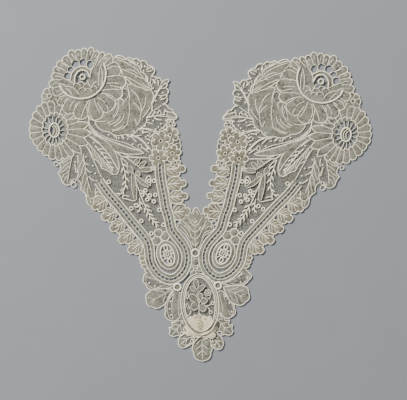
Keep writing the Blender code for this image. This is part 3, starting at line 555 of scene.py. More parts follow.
# Cord: radius, height (None keeps the line's own) and step of its points in squares.
CORDS = {
    "rim": (RIM, RIM_HEIGHT, 1),
    "low_rim": (PARTING, RIM_HEIGHT, 1),
    "parting": (PARTING, None, 1),
    "vein": (VEIN, None, 1),
    "hair": (HAIR, None, 1),
    "window": (VEIN, 0.00068, 1),
    "window_edge": (PARTING, 0.00074, 1),
    "rose_line": (PARTING, 0.0008, 1),
    "rose_hole": (VEIN, 0.00074, 0.7),
    "rose_scallop": (VEIN, 0.00085, 0.7),
    "rose_bowl": (0.00062, RAISED, 1),
    "rose_arch": (0.00052, RAISED, 1),
    "rose_outer_arch": (0.00034, 0.00085, 1),
    "rose_leaf_line": (PARTING, 0.00088, 1),
    "rose_gap": (VEIN, 0.0007, 1),
    "daisy_bar": (VEIN, 0.0008, 1),
    "daisy_loop": (0.0003, 0.0008, 0.6),
    "daisy_heart": (PARTING, RAISED, 1),
    "daisy_heart_vein": (VEIN, RAISED, 1),
    "spray_leaflet": (0.00036, 0.00072, 0.8),
    "spray_edge": (PARTING, 0.0007, 1),
    "floret_rim": (0.00034, 0.0007, 0.7),
    "tip_leaf": (0.00034, 0.00066, 0.8),
    "tip_rim": (0.00042, RIM_HEIGHT, 1),
    "tip_twig": (PARTING, 0.00065, 1),
    "tip_leaflet": (0.00042, 0.0007, 1),
    "tip_stalk": (0.00046, 0.00062, 1),
    "eye_flower": (0.00038, 0.00085, 0.7),
    "eye_bar": (0.00036, 0.0008, 0.6),
    "trefoil": (0.00042, 0.0006, 0.9),
    "panel_stem": (0.00036, 0.0009, 1),
    "panel_leaflet": (0.0005, 0.001, 0.9),
    "panel_leaf": (VEIN, 0.0013, 1),
    "braid_edge": (0.0004, 0.0008, 1.2),
    "ladder_edge": (0.00022, 0.0008, 1.2),
    "border_opening": (VEIN, 0.00078, 0.8),
    "border_midrib": (0.0004, 0.00088, 1),
    "border_rib": (VEIN, 0.00086, 1),
    "border_rim": (0.00038, RIM_HEIGHT + 0.00006, 0.8),
    "fan_rib": (HAIR, 0.00092, 1),
    "berry": (PARTING, 0.00066, 0.8),
    "ring_gap": (VEIN, 0.0007, 0.8),
    "palmette_rim": (PARTING, RIM_HEIGHT, 0.8),
    "palmette_line": (VEIN, 0.00095, 1),
    "palmette_rib": (PARTING, 0.00105, 0.8),
    "pendant_leaf": (VEIN, 0.0014, 1),
    "pendant_floret": (VEIN, 0.00128, 0.7),
    "pendant_stem": (PARTING, 0.0009, 1),
    "cream_band": (0.00032, 0.0026, 1),
}
# Ring: reach in squares, or across and up where it is oval, radius of its cord, height, and its spots.
RINGS = {
    "rose_button": (2.5, 0.0005, RAISED, BUTTON_CENTRE),
    "daisy_heart": ((5, 7), 0.00052, RAISED, (54.5, 130.4)),
    "side_floret": (2.2, PARTING, RAISED, (49.6, 96.2)),
    "spray_end": (2, PARTING, 0.0006, (56.3, 164)),
    "floret": (1.7, VEIN, 0.00085, *(row[0:2] for row in FLORETS)),
    "tip": (2.4, PARTING, 0.0006, (74, 185), (98, 194)),
    "small_tip": (1.5, VEIN, 0.0006, (74.6, 180.4), (71.6, 181.2)),
    "eye_rim": (EYE_BAND, 0.00036, 0.0006, EYE_CENTRE),
    "eye_opening": ((6.7, 10.9), 0.00052, 0.00085, EYE_CENTRE),
    "eye_flower": (1.5, PARTING, RAISED, (167.6, 254.2)),
    "eye_loop": ((1.7, 2.6), 0.00042, 0.00085, (165.9, 248), (169.7, 261.3)),
    "panel": (1.7, 0.00042, 0.0008, *PANEL_RINGS),
    "panel_berry": (1.6, 0.00048, 0.001, *PANEL_BERRIES),
    "joining": (3.4, 0.00068, 0.0009, *JOINING_RINGS),
    "centre": (3.7, 0.00072, 0.0009, CENTRE_RING),
    "pendant_outer": (tuple(np.subtract(PENDANT_REACH, 0.5)), 0.00038, 0.00075, PENDANT_CENTRE),
    "pendant_middle": (tuple(np.subtract(PENDANT_REACH, 2.6)), 0.00022, 0.00075, PENDANT_CENTRE),
    "pendant_inner": (tuple(np.subtract(PENDANT_REACH, 4.3)), 0.0004, 0.00075, PENDANT_CENTRE),
    "berries": (1.5, VEIN, RAISED, (195.4, 269.3)),
    "palmette": (2.3, PARTING, 0.0009, (177.2, 222), (214, 223)),
    "pendant_floret": (1.2, VEIN, 0.0013, SPRAY_FLOWER[0:2]),
    "pendant_spray": (1.5, PARTING, 0.0011, *SPRAY_RINGS),
    "cream": (1, VEIN, 0.0025, *CREAM_KNOTS),
}
TIP_LOOP_CORD = (PARTING, 0.0007)
# How far the lace keeps clear of a ring's middle, and the reach of the cloth in it, in squares.
JOINING_CLEAR = 4.2
CENTRE_CLEAR = 4.6
RING_CLOTH = 3.2

# Steps of a curve and of a leaf's edge, sides of a cord, and step of a ring in squares.
BOW_STEPS = 8
LEAF_STEPS = 24
CORD_SIDES = 6
RING_STEP = 0.8
# An open cord's share of its radius at its end, and how much of it each point further in adds.
CORD_END = 0.55
CORD_SWELL = 0.25
# Pointed petals: how far the point replaces the round swell, its power, and the notch's share left.
POINTED = 0.8
POINT_POWER = 0.8
POINTED_NOTCH = 0.88
# A leaf's cloth: how many times its rise it reaches, and the share of that left in the groove.
LEAF_RISE = 1.6
LEAF_GROOVE = 0.45
# Ribs of the foot leaves: how many a side, where they start, over what span, and their lean. Then their reach
# on serrated leaves and on the others.
FOOT_RIBS = (3, 0.12, 0.68, 0.2)
FOOT_RIB_REACH = (0.8, 0.66)
# Ribs of the fan leaves: from and to along the midrib, and the shortest that is worked, in squares.
FAN_RIB_SPAN = (0.22, 0.8)
SHORTEST_RIB = 1.5
# Leaflets on a stem: where the last one stands, and how much smaller they get along it.
LEAFLET_END = 0.96
LEAFLET_SHRINK = 0.25
# Where the notch lines of the side floret and of the florets' round start, and the opening in a floret.
SIDE_FLORET_LINE = 0.35
FLORETS_LINE = 0.55
FLORET_OPENING = (1.2, 1.2)
# A palmette rib's bend, across and up as shares of its reach, and the middle of a border leaf along it.
PALMETTE_BEND = (0.6, 0.4)
BORDER_MIDDLE = 0.45
# Rises of small cloths, in metres.
PALMETTE_RISE = 0.0005
PENDANT_BAND_RISE = 0.0002
FLORET_RISE = 0.0004
TREFOIL_RISE = 0.0005
BERRY_RISE = 0.0007
LARGE_LEAF_RISE = 0.0003
SMALL_LEAF_RISE = 0.0004
# Leaves that lie on the nets: heights on the panel and in the pendant, their rise, and their walls.
PANEL_LEAF_TOP = 0.0011
PENDANT_LEAF_TOP = 0.0012
SPRIG_RISE = 0.00008
PANEL_LEAF_WALL = 0.0002
PENDANT_LEAF_WALL = 0.0003
# Cloths of the raised flower, and its strap.
CREAM_BACK = {"notch": 0.86, "top": 0.0015, "rise": 0.0003, "start": 0.2}
CREAM_PETAL = {"top": 0.0017, "rise": 0.0004, "depth": 0.10}
STRAP_TOP = 0.0022
STRAP_RISE = 0.0002
# Stitches of the cloth and the twist of a cord, in metres.
STITCH_LENGTH = 0.0005
STITCH_WIDTH = 0.00046
TWIST_LENGTH = 0.0009
# Soft box: place and size in metres, power in watts, colour.
LIGHTS = {
    "key": ((-1.5, 1.35, 1.1), 0.55, 175, (1, 0.985, 0.96)),
    "fill": ((1.3, -1, 1.5), 1.2, 17, (0.95, 0.975, 1)),
}
SKY_COLOUR = (0.9, 0.95, 1, 1)
SKY_STRENGTH = 0.19
# Lens and sensor in millimetres, and the camera's place in metres.
LENS_LENGTH = 100
SENSOR_WIDTH = 36
CAMERA_SPOT = (0.00236, 0.0033, 0.8479)


def signed_area(outline):
    """Twice the area inside an outline, positive where it runs counterclockwise."""
    ahead = np.roll(outline, -1, axis=0)
    return float((outline[:, 0] * ahead[:, 1] - ahead[:, 0] * outline[:, 1]).sum())


def smooth(points, steps=6):
    """Points on a Catmull-Rom curve through the given ones, so many steps to a span."""
    points = np.asarray(points, float)
    padded = np.vstack([2 * points[0] - points[1], points, 2 * points[-1] - points[-2]])
    before, start, end, after = padded[:-3, None], padded[1:-2, None], padded[2:-1, None], padded[3:, None]
    t = (np.arange(steps) / steps)[None, :, None]
    curve = start + 0.5 * t * (end - before)
    curve = curve + t**2 * (before - 2.5 * start + 2 * end - 0.5 * after)
    curve = curve + t**3 * (1.5 * start - 1.5 * end + 0.5 * (after - before))
    return np.vstack([curve.reshape(-1, points.shape[1]), points[-1]])


def spaced(path, step, closed=False):
    """The same path, or outline, as points at equal distances along it."""
    path = np.asarray(path, float)
    if closed:
        path = np.vstack([path, path[:1]])
    gone = np.concatenate([[0.0], np.cumsum(np.hypot(*np.diff(path[:, :2], axis=0).T))])
    count = max(3, round(gone[-1] / step))
    at = np.linspace(0, gone[-1], count + 1)
    return np.column_stack([np.interp(at, gone, column) for column in path.T])


def arcs(corners, steps=8):
    """A closed outline whose spans are arcs: each bulges out by its share of the span."""
    table = np.asarray(corners, float)
    start, bulge = table[:, :2], table[:, 2]
    end = np.roll(start, -1, axis=0)
    turn = 1.0 if signed_area(start) > 0 else -1.0
    along = (np.arange(steps) / steps)[None, :, None]
    side = turn * np.column_stack([end[:, 1] - start[:, 1], start[:, 0] - end[:, 0]])[:, None]
    bow_out = 4 * bulge[:, None, None] * along * (1 - along) * side
    return (start[:, None] + along * (end - start)[:, None] + bow_out).reshape(-1, 2)


def bow(row):
    """A curve through three places: start, by and end weighted (1-t)(1-2t), 4t(1-t) and t(2t-1)."""
    start, by, end = np.asarray(row, float).reshape(3, 2)
    t = np.linspace(0, 1, BOW_STEPS + 1)[:, None]
    return (1 - t) * (1 - 2 * t) * start + 4 * t * (1 - t) * by + t * (2 * t - 1) * end


def ellipse(centre, reach, tilt=0.0, steps=32):
    """An ellipse whose upper end leans to the left by its tilt in degrees."""
    turn = 2 * math.pi * np.arange(steps) / steps
    lean = math.radians(tilt)
    across, up = reach[0] * np.cos(turn), reach[1] * np.sin(turn)
    column = across * math.cos(lean) - up * math.sin(lean)
    row = across * math.sin(lean) + up * math.cos(lean)
    return np.asarray(centre) + np.column_stack([column, -row])


def around(turn, far):
    """Columns and rows from a centre, at these turns and distances."""
    return np.column_stack([far * np.cos(turn), -far * np.sin(turn)])


def sides_of(path):
    """The unit vector across a path at each of its points."""
    along = np.gradient(path[:, :2], axis=0)
    along /= np.maximum(np.hypot(along[:, 0], along[:, 1]), 1e-12)[:, None]
    return np.column_stack([-along[:, 1], along[:, 0]])


def inside(points, outline):
    """Whether each point lies inside an outline: a ray from it crosses the edges an odd number of times."""
    x, y = points[..., 0, None], points[..., 1, None]
    x0, y0 = outline.T
    x1, y1 = np.roll(outline, -1, axis=0).T
    spans = (y0 > y) != (y1 > y)
    slope = (x1 - x0) / np.where(y1 == y0, 1.0, y1 - y0)
    return (spans & (x < x0 + (y - y0) * slope)).sum(axis=-1) % 2 == 1


def smallest_box(points):
    """Width and length of the smallest rectangle, turned any way, that holds these places."""
    turn = np.radians(np.arange(0, 90, 2.0))
    across = points[:, :1] * np.cos(turn) + points[:, 1:] * np.sin(turn)
    up = points[:, 1:] * np.cos(turn) - points[:, :1] * np.sin(turn)
    sizes = np.stack([np.ptp(across, axis=0), np.ptp(up, axis=0)])
    return np.sort(sizes[:, np.argmin(sizes.prod(axis=0))])


def path_length(path):
    """The length of a path of the draft, in metres."""
    return float(np.hypot(*np.diff(path, axis=0)[:, :2].T).sum()) * SQUARE


def on_left(points):
    """The left arm lies as it is drafted."""
    return points


def on_right(points):
    """The right arm: mirrored, then set by its eye, a little askew."""
    points = np.asarray(points, float)
    eye = np.array([2 * MIRROR_COLUMN - LEFT_EYE[0], LEFT_EYE[1]])
    away = np.stack([2 * MIRROR_COLUMN - points[..., 0], points[..., 1]], axis=-1) - eye
    across = ACROSS_STRETCH * np.array([math.cos(ACROSS_TURN), math.sin(ACROSS_TURN)])
    down = DOWN_STRETCH * np.array([-math.sin(DOWN_TURN), math.cos(DOWN_TURN)])
    return np.asarray(RIGHT_EYE) + away[..., :1] * across + away[..., 1:] * down


class Flower:
    """Round petals about a centre. Between its two notches a petal's rim swells like a half circle, and its
    cloth puffs up: the height is the rise times (1 - share²) times a half sine of the way out."""

    def __init__(self, centre, petals, notch=0.9, top=SHEET_TOP, rise=SHEET_RISE, start=0.35, pointed=0.0):
        table = np.asarray(sorted((angle % 360, reach) for angle, reach in petals), float)
        self.centre = np.asarray(centre, float)
        self.angle, self.reach = table.T
        self.count = len(table)
        after = np.roll(self.angle, -1) + 360 * (np.arange(self.count) == self.count - 1)
        self.gap_after = (after - self.angle) / 2
        self.gap_before = np.roll(self.gap_after, 1)
        self.depth_after = notch * np.minimum(self.reach, np.roll(self.reach, -1))
        self.depth_before = np.roll(self.depth_after, 1)
        self.top, self.rise, self.start = top, rise, start
        near = np.abs((self.angle + 180) % 360 - 180) < pointed
        self.pointed = np.where(near, POINTED, 0.0)
        self.depth_after[near] *= POINTED_NOTCH
        self.depth_before[near] *= POINTED_NOTCH

    def at(self, turn, out):
        """Places: the turn counts petals, so 2.5 is the middle of petal 2, and out is 0 at the centre."""
        petal = np.floor(turn).astype(int) % self.count
        share = 2 * (turn - np.floor(turn)) - 1
        before = share < 0
        low = np.where(before, self.depth_before[petal], self.depth_after[petal])
        gap = np.where(before, self.gap_before[petal], self.gap_after[petal])
        swell = np.sqrt(1 - share**2)
        swell = swell + self.pointed[petal] * ((1 - np.abs(share)) ** POINT_POWER - swell)
        far = out * (low + (self.reach[petal] - low) * swell)
        angle = np.radians(self.angle[petal] + gap * share)
        hump = np.sin(math.pi * np.clip((out - self.start) / (1 - self.start), 0, 1))
        height = self.top + self.rise * (1 - share**2) * hump
        column, row = self.centre[0] + far * np.cos(angle), self.centre[1] - far * np.sin(angle)
        return np.stack([column, row, height], -1)

    def grid(self):
        """The whole sheet and its pattern places."""
        mean = self.reach.mean()
        width = 2 * math.pi * mean / self.count
        turns = np.linspace(0, self.count, self.count * max(6, round(width / FINE)) + 1)
        turn, out = np.meshgrid(turns, np.linspace(0, 1, max(6, round(mean / FINE)) + 1), indexing="ij")
        return self.at(turn, out), np.stack([turn * width, out * mean], -1) * SQUARE

    def rim(self, steps=12):
        """The outline."""
        return self.at(np.arange(self.count * steps) / steps, np.ones(self.count * steps))

    def line(self, turn, start, end=1.0):
        """A line outwards at one turn."""
        return self.at(np.full(7, float(turn)), np.linspace(start, end, 7))

    def notch_lines(self, start):
        """A line out of each notch, from one start or from its own."""
        starts = np.broadcast_to(start, self.count)
        return [self.line(number, starts[number]) for number in range(self.count)]


class Leaf:
    """A lobed leaf on a bent spine: its half width follows a sine, pulled in at the notches between lobes and
    rounded off at the tip, and its cloth rises by (1 - across²) and falls into a groove along the spine."""

    def __init__(
        self, base, tip, width, lobes=1, bend=0.0, top=SHEET_TOP, rise=SHEET_RISE, lift=0.0, depth=LOBE_DEPTH,
        toothed=False,
    ):
        self.base, self.tip = np.asarray(base, float), np.asarray(tip, float)
        self.width, self.lobes, self.bend = width, lobes, bend
        self.top, self.rise, self.lift, self.depth, self.toothed = top, rise, lift, depth, toothed
        self.length = float(np.hypot(*(self.tip - self.base)))

    def at(self, along, across):
        """Places: along is 0 at the base and 1 at the tip, across is -1 to 1 from edge to edge."""
        spine = self.tip - self.base
        side = np.array([-spine[1], spine[0]]) / self.length
        half = self.width / 2 * np.sin(math.pi * (LEAF_START + LEAF_STRETCH * along)) ** LEAF_FULLNESS
        wave = np.abs(np.sin(math.pi * self.lobes * along))
        half = half * (1 - self.depth + self.depth * (1 - wave if self.toothed else wave))
        half = half * np.sqrt(1 - np.clip((along - 1 + LEAF_ROUND) / LEAF_ROUND, 0, 1) ** 2)
        off = 4 * self.bend * along * (1 - along) + half * across
        place = self.base + along[..., None] * spine + off[..., None] * side
        groove = LEAF_GROOVE + (1 - LEAF_GROOVE) * np.abs(across)
        hump = (1 - across**2) * np.sin(math.pi * np.clip(along, 0, 1)) ** 0.5 * groove
        height = self.top + LEAF_RISE * self.rise * hump + self.lift * along
        return np.concatenate([place, height[..., None]], -1)

    def grid(self):
        """The whole sheet and its pattern places."""
        along, across = np.meshgrid(
            np.linspace(0, 1, max(8, round(self.length / FINE)) + 1),
            np.linspace(-1, 1, max(6, round(self.width / FINE)) + 1), indexing="ij",
        )
        return self.at(along, across), np.stack([across * self.width / 2, along * self.length], -1) * SQUARE

    def rim(self):
        """The outline, up one edge and down the other."""
        along = np.linspace(0, 1, LEAF_STEPS + 1)
        edge = np.ones_like(along)
        return np.vstack([self.at(along, edge), self.at(along, -edge)[::-1][1:]])

    def line(self, start, end):
        """A line from one pair of along and across to another."""
        share = np.linspace(0, 1, 9)
        return self.at(start[0] + share * (end[0] - start[0]), start[1] + share * (end[1] - start[1]))

    def windows(self, part):
        """The outline of a part of the leaf, in a list, or none if it is empty. The part runs from and
        to along the leaf, and from and to across it."""
        near, far, low, high = part
        along = np.linspace(near, far, 14)
        outline = np.vstack([self.at(along, np.full(14, low)), self.at(along, np.full(14, high))[::-1]])
        return [outline] if far > near else []

    def ribs(self, reach):
        """The midrib, then side ribs that lean towards the tip."""
        count, first, span, lean = FOOT_RIBS
        lines = [self.line((0.04, 0.0), (0.94, 0.0))]
        for number in range(count):
            near = first + span * number / count
            for way in (-1, 1):
                lines.append(self.line((near, 0.0), (near + lean, way * reach)))
        return lines


class Patch:
    """A sheet inside any outline that its middle sees all of: a point lies v of the way from the middle to
    the outline, and the cloth rises by (1 - v²)."""

    def __init__(self, outline, middle, top=SHEET_TOP, rise=SHEET_RISE):
        self.outline, self.middle = np.asarray(outline, float), np.asarray(middle, float)
        self.top, self.rise = top, rise

    def grid(self):
        """The whole sheet and its pattern places."""
        edge = spaced(self.outline, FINE, closed=True)
        far = np.hypot(*(edge - self.middle).T).mean()
        out = np.linspace(0, 1, max(4, round(far / FINE)) + 1)[None, :, None]
        place = self.middle + out * (edge - self.middle)[:, None]
        height = np.broadcast_to(self.top + self.rise * (1 - out**2), (*place.shape[:2], 1))
        return np.concatenate([place, height], -1), place * SQUARE


class Band:
    """A strip carried along a path: across is in squares from the path, and the cloth rises between its
    edges. Its far edge may run from one distance to another."""

    def __init__(self, path, near, far, far_end=None, top=SHEET_TOP, rise=SHEET_RISE):
        self.path = spaced(path, PATH_STEP)
        self.sides = sides_of(self.path)
        self.near, self.far = near, far
        self.outer = np.linspace(far, far if far_end is None else far_end, len(self.path))[:, None]
        self.top, self.rise = top, rise

    def grid(self):
        """The whole strip and its pattern places."""
        share = np.linspace(0, 1, max(4, round(abs(self.far - self.near) / FINE)) + 1)[None, :]
        across = self.near + share * (self.outer - self.near)
        place = self.path[:, None] + across[..., None] * self.sides[:, None]
        height = self.top + self.rise * 4 * share * (1 - share) + 0 * across
        gone = PATH_STEP * np.arange(len(self.path))[:, None] + 0 * across
        return np.concatenate([place, height[..., None]], -1), np.stack([across, gone], -1) * SQUARE

    def edge(self, across):
        """A line along the strip, at one distance from the path or at one for each of its points."""
        return self.path + across * self.sides


class Hoop:
    """A band between two ellipses of one centre and tilt: the reach runs from the inner to the outer one."""

    def __init__(self, centre, inner, outer, tilt, rise=SHEET_RISE):
        self.centre, self.inner, self.outer, self.tilt = centre, np.asarray(inner), np.asarray(outer), tilt
        self.rise = rise

    def grid(self):
        """The whole band and its pattern places."""
        steps = max(12, round(math.pi * self.outer.sum() / FINE))
        rows = []
        for share in np.linspace(0, 1, max(3, round((self.outer - self.inner).mean() / FINE)) + 1):
            edge = ellipse(self.centre, self.inner + share * (self.outer - self.inner), self.tilt, steps)
            height = np.full(steps, SHEET_TOP + self.rise * 4 * share * (1 - share))
            rows.append(np.column_stack([edge, height]))
        points = np.stack(rows, axis=1)
        points = np.concatenate([points, points[:1]], axis=0)
        return points, points[..., :2] * SQUARE


class Lacework:
    """The lace as it grows. Each sheet or cord laid keeps clear of the outlines that were laid before it."""

    def __init__(self):
        self.outlines = []

    def lay(self, outline):
        """Keeps later work off this outline."""
        outline = np.asarray(outline, float)[:, :2]
        self.outlines.append((outline, outline.min(0), outline.max(0)))

    def covers(self, points):
        """Whether each point of the draft is covered already."""
        flat = points[..., :2].reshape(-1, 2)
        found = np.zeros(len(flat), bool)
        if len(flat):
            low, high = flat.min(0), flat.max(0)
            for outline, least, most in self.outlines:
                if (least < high).all() and (low < most).all():
                    near = np.flatnonzero((flat > least).all(1) & (flat < most).all(1))
                    found[near] |= inside(flat[near], outline)
        return found.reshape(points.shape[:-1])


LACE = Lacework()


def on_table(points, place):
    """Draft columns and rows, set as their arm lies, in metres. The height stays as it is."""
    flat = place(points[..., :2])
    across, up = (flat[..., 0] - CENTRE_COLUMN) * SQUARE, (CENTRE_ROW - flat[..., 1]) * SQUARE
    return np.stack([across, up, points[..., 2]], -1)


def with_height(points, height):
    """Places in the draft with one height for all."""
    points = np.asarray(points, float)[:, :2]
    return np.column_stack([points, np.full(len(points), height)])


class Work:
    """One piece in the making: its grids are gathered, then made one mesh."""

    def __init__(self, place=on_left):
        self.place = place
        self.points, self.quads, self.places = [], [], []
        self.used = 0
        self.area = 0.0
        self.parts = []

    def add(self, points, places, keep=None, facing_up=False):
        """One grid of points in metres, with the quads that are kept of it."""
        rows, columns = points.shape[:2]
        number = np.arange(rows * columns).reshape(rows, columns)
        quads = np.stack([number[:-1, :-1], number[1:, :-1], number[1:, 1:], number[:-1, 1:]], -1)
        quads = quads.reshape(-1, 4)
        if keep is not None:
            quads = quads[keep.ravel()]
        if not len(quads):
            return
        points, places = points.reshape(-1, 3), places.reshape(-1, 2)
        if facing_up:
            corner = points[quads][..., :2]
            one, two = corner[:, 2] - corner[:, 0], corner[:, 3] - corner[:, 1]
            doubled = one[:, 0] * two[:, 1] - one[:, 1] * two[:, 0]
            self.area += float(np.abs(doubled).sum()) / 2
            if doubled.sum() < 0:
                quads = quads[:, ::-1]
        kept, again = np.unique(quads, return_inverse=True)
        self.gather(points[kept], again.reshape(quads.shape), places[quads], facing_up)

    def gather(self, points, quads, places, counts):
        """Points, quads and pattern places, joined to the piece, and to its cut where they count."""
        if counts:
            self.parts.append(points[:, :2])
        self.points.append(points)
        self.places.append(places.reshape(-1, 2))
        self.quads.append(quads + self.used)
        self.used += len(points)

    def lay(self, outline):
        """Keeps later work off this outline of the draft."""
        LACE.lay(self.place(outline))

    def sheet(self, surface, holes=()):
        """A sheet of cloth, left out where other work covers it and inside its holes."""
        points, places = surface.grid()
        middle = (points[:-1, :-1] + points[1:, :-1] + points[1:, 1:] + points[:-1, 1:])[..., :2] / 4
        keep = ~LACE.covers(self.place(middle))
        for hole in holes:
            keep &= ~inside(middle, np.asarray(hole, float)[:, :2])
        self.add(on_table(points, self.place), places, keep, facing_up=True)

    def cord(self, kind, line, closed=False):
        """A cord of one kind along a line of the draft, broken where other work covers it."""
        radius, height, step = CORDS[kind]
        line = spaced(line if height is None else with_height(line, height), step, closed)
        if closed:
            line = line[:-1]
        hidden = LACE.covers(self.place(line[:, :2]))
        if closed and not hidden.any():
            self.tube(on_table(np.vstack([line, line[:1]]), self.place), radius, True)
            return
        if closed:
            first = int(np.argmax(hidden))
            line, hidden = np.roll(line, -first, axis=0), np.roll(hidden, -first)
            line, hidden = np.vstack([line, line[:1]]), np.append(hidden, True)
        for run in np.split(np.arange(len(line)), np.flatnonzero(np.diff(hidden.astype(int))) + 1):
            if len(run) > 2 and not hidden[run[0]]:
                self.tube(on_table(line[run], self.place), radius, False)

    def cords(self, kind, lines):
        """A cord of one kind along each line."""
        for line in lines:
            self.cord(kind, line)

    def tube(self, path, radius, closed):
        """A ring carried along a path: P = path + r (cos a · side + sin a · up). Open ends are pointed."""
        count = len(path)
        if closed:
            wide = np.vstack([path[-2], path, path[1]])
            side = sides_of(wide)[1:-1]
            size = np.full(count, radius)
        else:
            side = sides_of(path)
            gone = np.arange(count)
            size = radius * np.minimum(1, CORD_END + CORD_SWELL * np.minimum(gone, gone[::-1]))
            path, side = np.vstack([path[:1], path, path[-1:]]), np.vstack([side[:1], side, side[-1:]])
            size = np.concatenate([[0.0], size, [0.0]])
        turn = 2 * math.pi * np.arange(CORD_SIDES + 1) / CORD_SIDES
        side = np.column_stack([side, np.zeros(len(side))])[:, None]
        across = (size[:, None] * np.cos(turn))[..., None] * side
        up = (size[:, None] * np.sin(turn))[..., None] * np.array([0, 0, 1.0])
        gone = np.concatenate([[0.0], np.cumsum(np.hypot(*np.diff(path[:, :2], axis=0).T))])
        round_it = (np.arange(CORD_SIDES + 1) / CORD_SIDES)[None]
        places = np.stack(np.broadcast_arrays(gone[:, None], round_it), -1)
        self.add(path[:, None] + across + up, places)

    def loop(self, centre, reach, radius, height, tilt=0.0):
        """A cord ring, round or oval, on the work."""
        reach = reach if isinstance(reach, tuple) else (reach, reach)
        steps = max(10, round(2 * math.pi * max(reach) / RING_STEP))
        edge = with_height(ellipse(centre, reach, tilt, steps), height)
        self.tube(on_table(np.vstack([edge, edge[:1]]), self.place), radius, True)

    def rings(self, kind, tilt=0.0):
        """The rings of one kind, each at its spot."""
        reach, radius, height, *spots = RINGS[kind]
        for spot in spots:
            self.loop(spot, reach, radius, height, tilt)

    def knots(self, spots, height):
        """Small round knots: half balls, flattened, with their rims tucked in under them."""
        up, turn = np.meshgrid(
            np.linspace(-0.5, 1, 5) * math.pi / 2, np.arange(9) * 2 * math.pi / 8, indexing="ij"
        )
        far = KNOT_REACH * np.cos(up)
        for column, row in spots:
            ball = [column + far * np.cos(turn), row + far * np.sin(turn), height + KNOT_RISE * np.sin(up)]
            points = np.stack(ball, -1)
            self.add(on_table(points, self.place), points[..., :2] * SQUARE, facing_up=True)

    def net(self, outline):
        """Hexagonal net of real thread: every thread joins two knots of a honeycomb, its knots a little off
        their places by slow sines, and it is a flat bar with its ends closed."""
        outline = np.asarray(outline, float)[:, :2]
        size = NET_CELL / SQUARE
        low, high = outline.min(0) - 2, outline.max(0) + 2
        column, row = np.meshgrid(
            np.arange(low[0], high[0], size), np.arange(low[1], high[1], 1.5 * size / 3**0.5), indexing="ij"
        )
        column = column + (np.arange(column.shape[1]) % 2) * size / 2
        knots = np.stack([column.ravel(), row.ravel()], -1)
        ways = size / 3**0.5 * np.array([[0, 1], [3**0.5 / 2, -0.5], [-(3**0.5) / 2, -0.5]])
        starts = np.repeat(knots, 3, axis=0)
        both = np.stack([starts, starts + np.tile(ways, (len(knots), 1))])
        stray = [np.sin(1.9 * both[..., 1] + 0.7 * both[..., 0]), np.sin(1.7 * both[..., 0])]
        both = both + NET_STRAY * np.stack(stray, -1)
        middle = both.mean(0)
        keep = inside(middle, outline) & ~LACE.covers(self.place(middle))
        both = both[:, keep]
        self.area += keep.sum() / 3 * 3**0.5 / 2 * NET_CELL**2
        both = on_table(np.concatenate([both, np.full((*both.shape[:2], 1), NET_HEIGHT)], -1), self.place)
        along = both[1] - both[0]
        along /= np.linalg.norm(along, axis=1)[:, None]
        side = np.column_stack([-along[:, 1], along[:, 0], np.zeros(len(along))]) * NET_THREAD[0] / 2
        up = np.array([0, 0, NET_THREAD[1] / 2])
        reach = along * NET_THREAD[0] / 4
        ends = (both[0] - reach, both[1] + reach)
        rim = [(end - side - up, end + side - up, end + side + up, end - side + up) for end in ends]
        corners = np.stack([*rim[0], *rim[1]], axis=1)
        bar = np.array([(0, 1, 2, 3), (7, 6, 5, 4), (0, 4, 5, 1), (1, 5, 6, 2), (2, 6, 7, 3), (3, 7, 4, 0)])
        quads = (bar[None] + 8 * np.arange(len(corners))[:, None, None]).reshape(-1, 4)
        points = corners.reshape(-1, 3)
        self.gather(points, quads, points[quads][..., :2], len(points))

    def edged_net(self, outline, cords, kind):
        """A net with a cord round it, which goes to another piece."""
        self.net(outline)
        cords.cord(kind, outline, closed=True)

    def leaf(self, form, cords, kind):
        """A leaf with a cord along its rim, which goes to another piece."""
        self.sheet(form)
        cords.cord(kind, form.rim())
        self.lay(form.rim())

    def discs(self, rows, rise, cords, kind):
        """Round patches of cloth from their rows, column, row and reach, each with a cord round it."""
        for column, row, reach in rows:
            outline = ellipse((column, row), (reach, reach), steps=24)
            self.sheet(Patch(outline, (column, row), rise=rise))
            cords.cord(kind, outline, closed=True)
            self.lay(outline)

    def make(self, name, material, slot, stands_for=(), wall=None, weld=True):
        """The piece as an object of the scene, standing for its solids."""
        points, quads, places = (np.concatenate(parts) for parts in (self.points, self.quads, self.places))
        mesh = bpy.data.meshes.new(name)
        mesh.vertices.add(len(points))
        mesh.vertices.foreach_set("co", points.astype(np.float32).ravel())
        mesh.loops.add(quads.size)
        mesh.loops.foreach_set("vertex_index", quads.astype(np.int32).ravel())
        mesh.polygons.add(len(quads))
        mesh.polygons.foreach_set("loop_start", np.arange(0, quads.size, 4, dtype=np.int32))
        mesh.update(calc_edges=True)
        layer = mesh.uv_layers.new(name="pattern")
        layer.uv.foreach_set("vector", places.astype(np.float32).ravel())
        if weld:
            work = bmesh.new()
            work.from_mesh(mesh)
            bmesh.ops.remove_doubles(work, verts=work.verts, dist=2e-6)
            work.to_mesh(mesh)
            work.free()
        mesh.shade_smooth()
        mesh.materials.append(material)
        piece = bpy.data.objects.new(name, mesh)
        bpy.context.scene.collection.objects.link(piece)
        if wall:
            cloth = piece.modifiers.new("wall", "SOLIDIFY")
            cloth.thickness = wall
            cloth.offset = -1.0
        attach(piece, "root")
        if stands_for:
            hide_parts(*stands_for)
        return piece

    def cut(self):
        """The smallest rectangle that the piece is cut from: round the whole piece as it lies, or round its
        parts laid side by side, the longest first, in one row or a few."""
        boxes = np.array(sorted((smallest_box(part) for part in self.parts), key=lambda box: -box[1]))
        cuts = [smallest_box(np.concatenate(self.parts))]
        for rows in range(1, len(boxes) + 1):
            shelves = np.array_split(boxes, rows)
            wide, long = max(shelf[:, 0].sum() for shelf in shelves), sum(shelf[0, 1] for shelf in shelves)
            cuts.append(np.sort([wide, long]))
        return min(np.maximum(cuts, LEAST_CUT), key=np.prod)

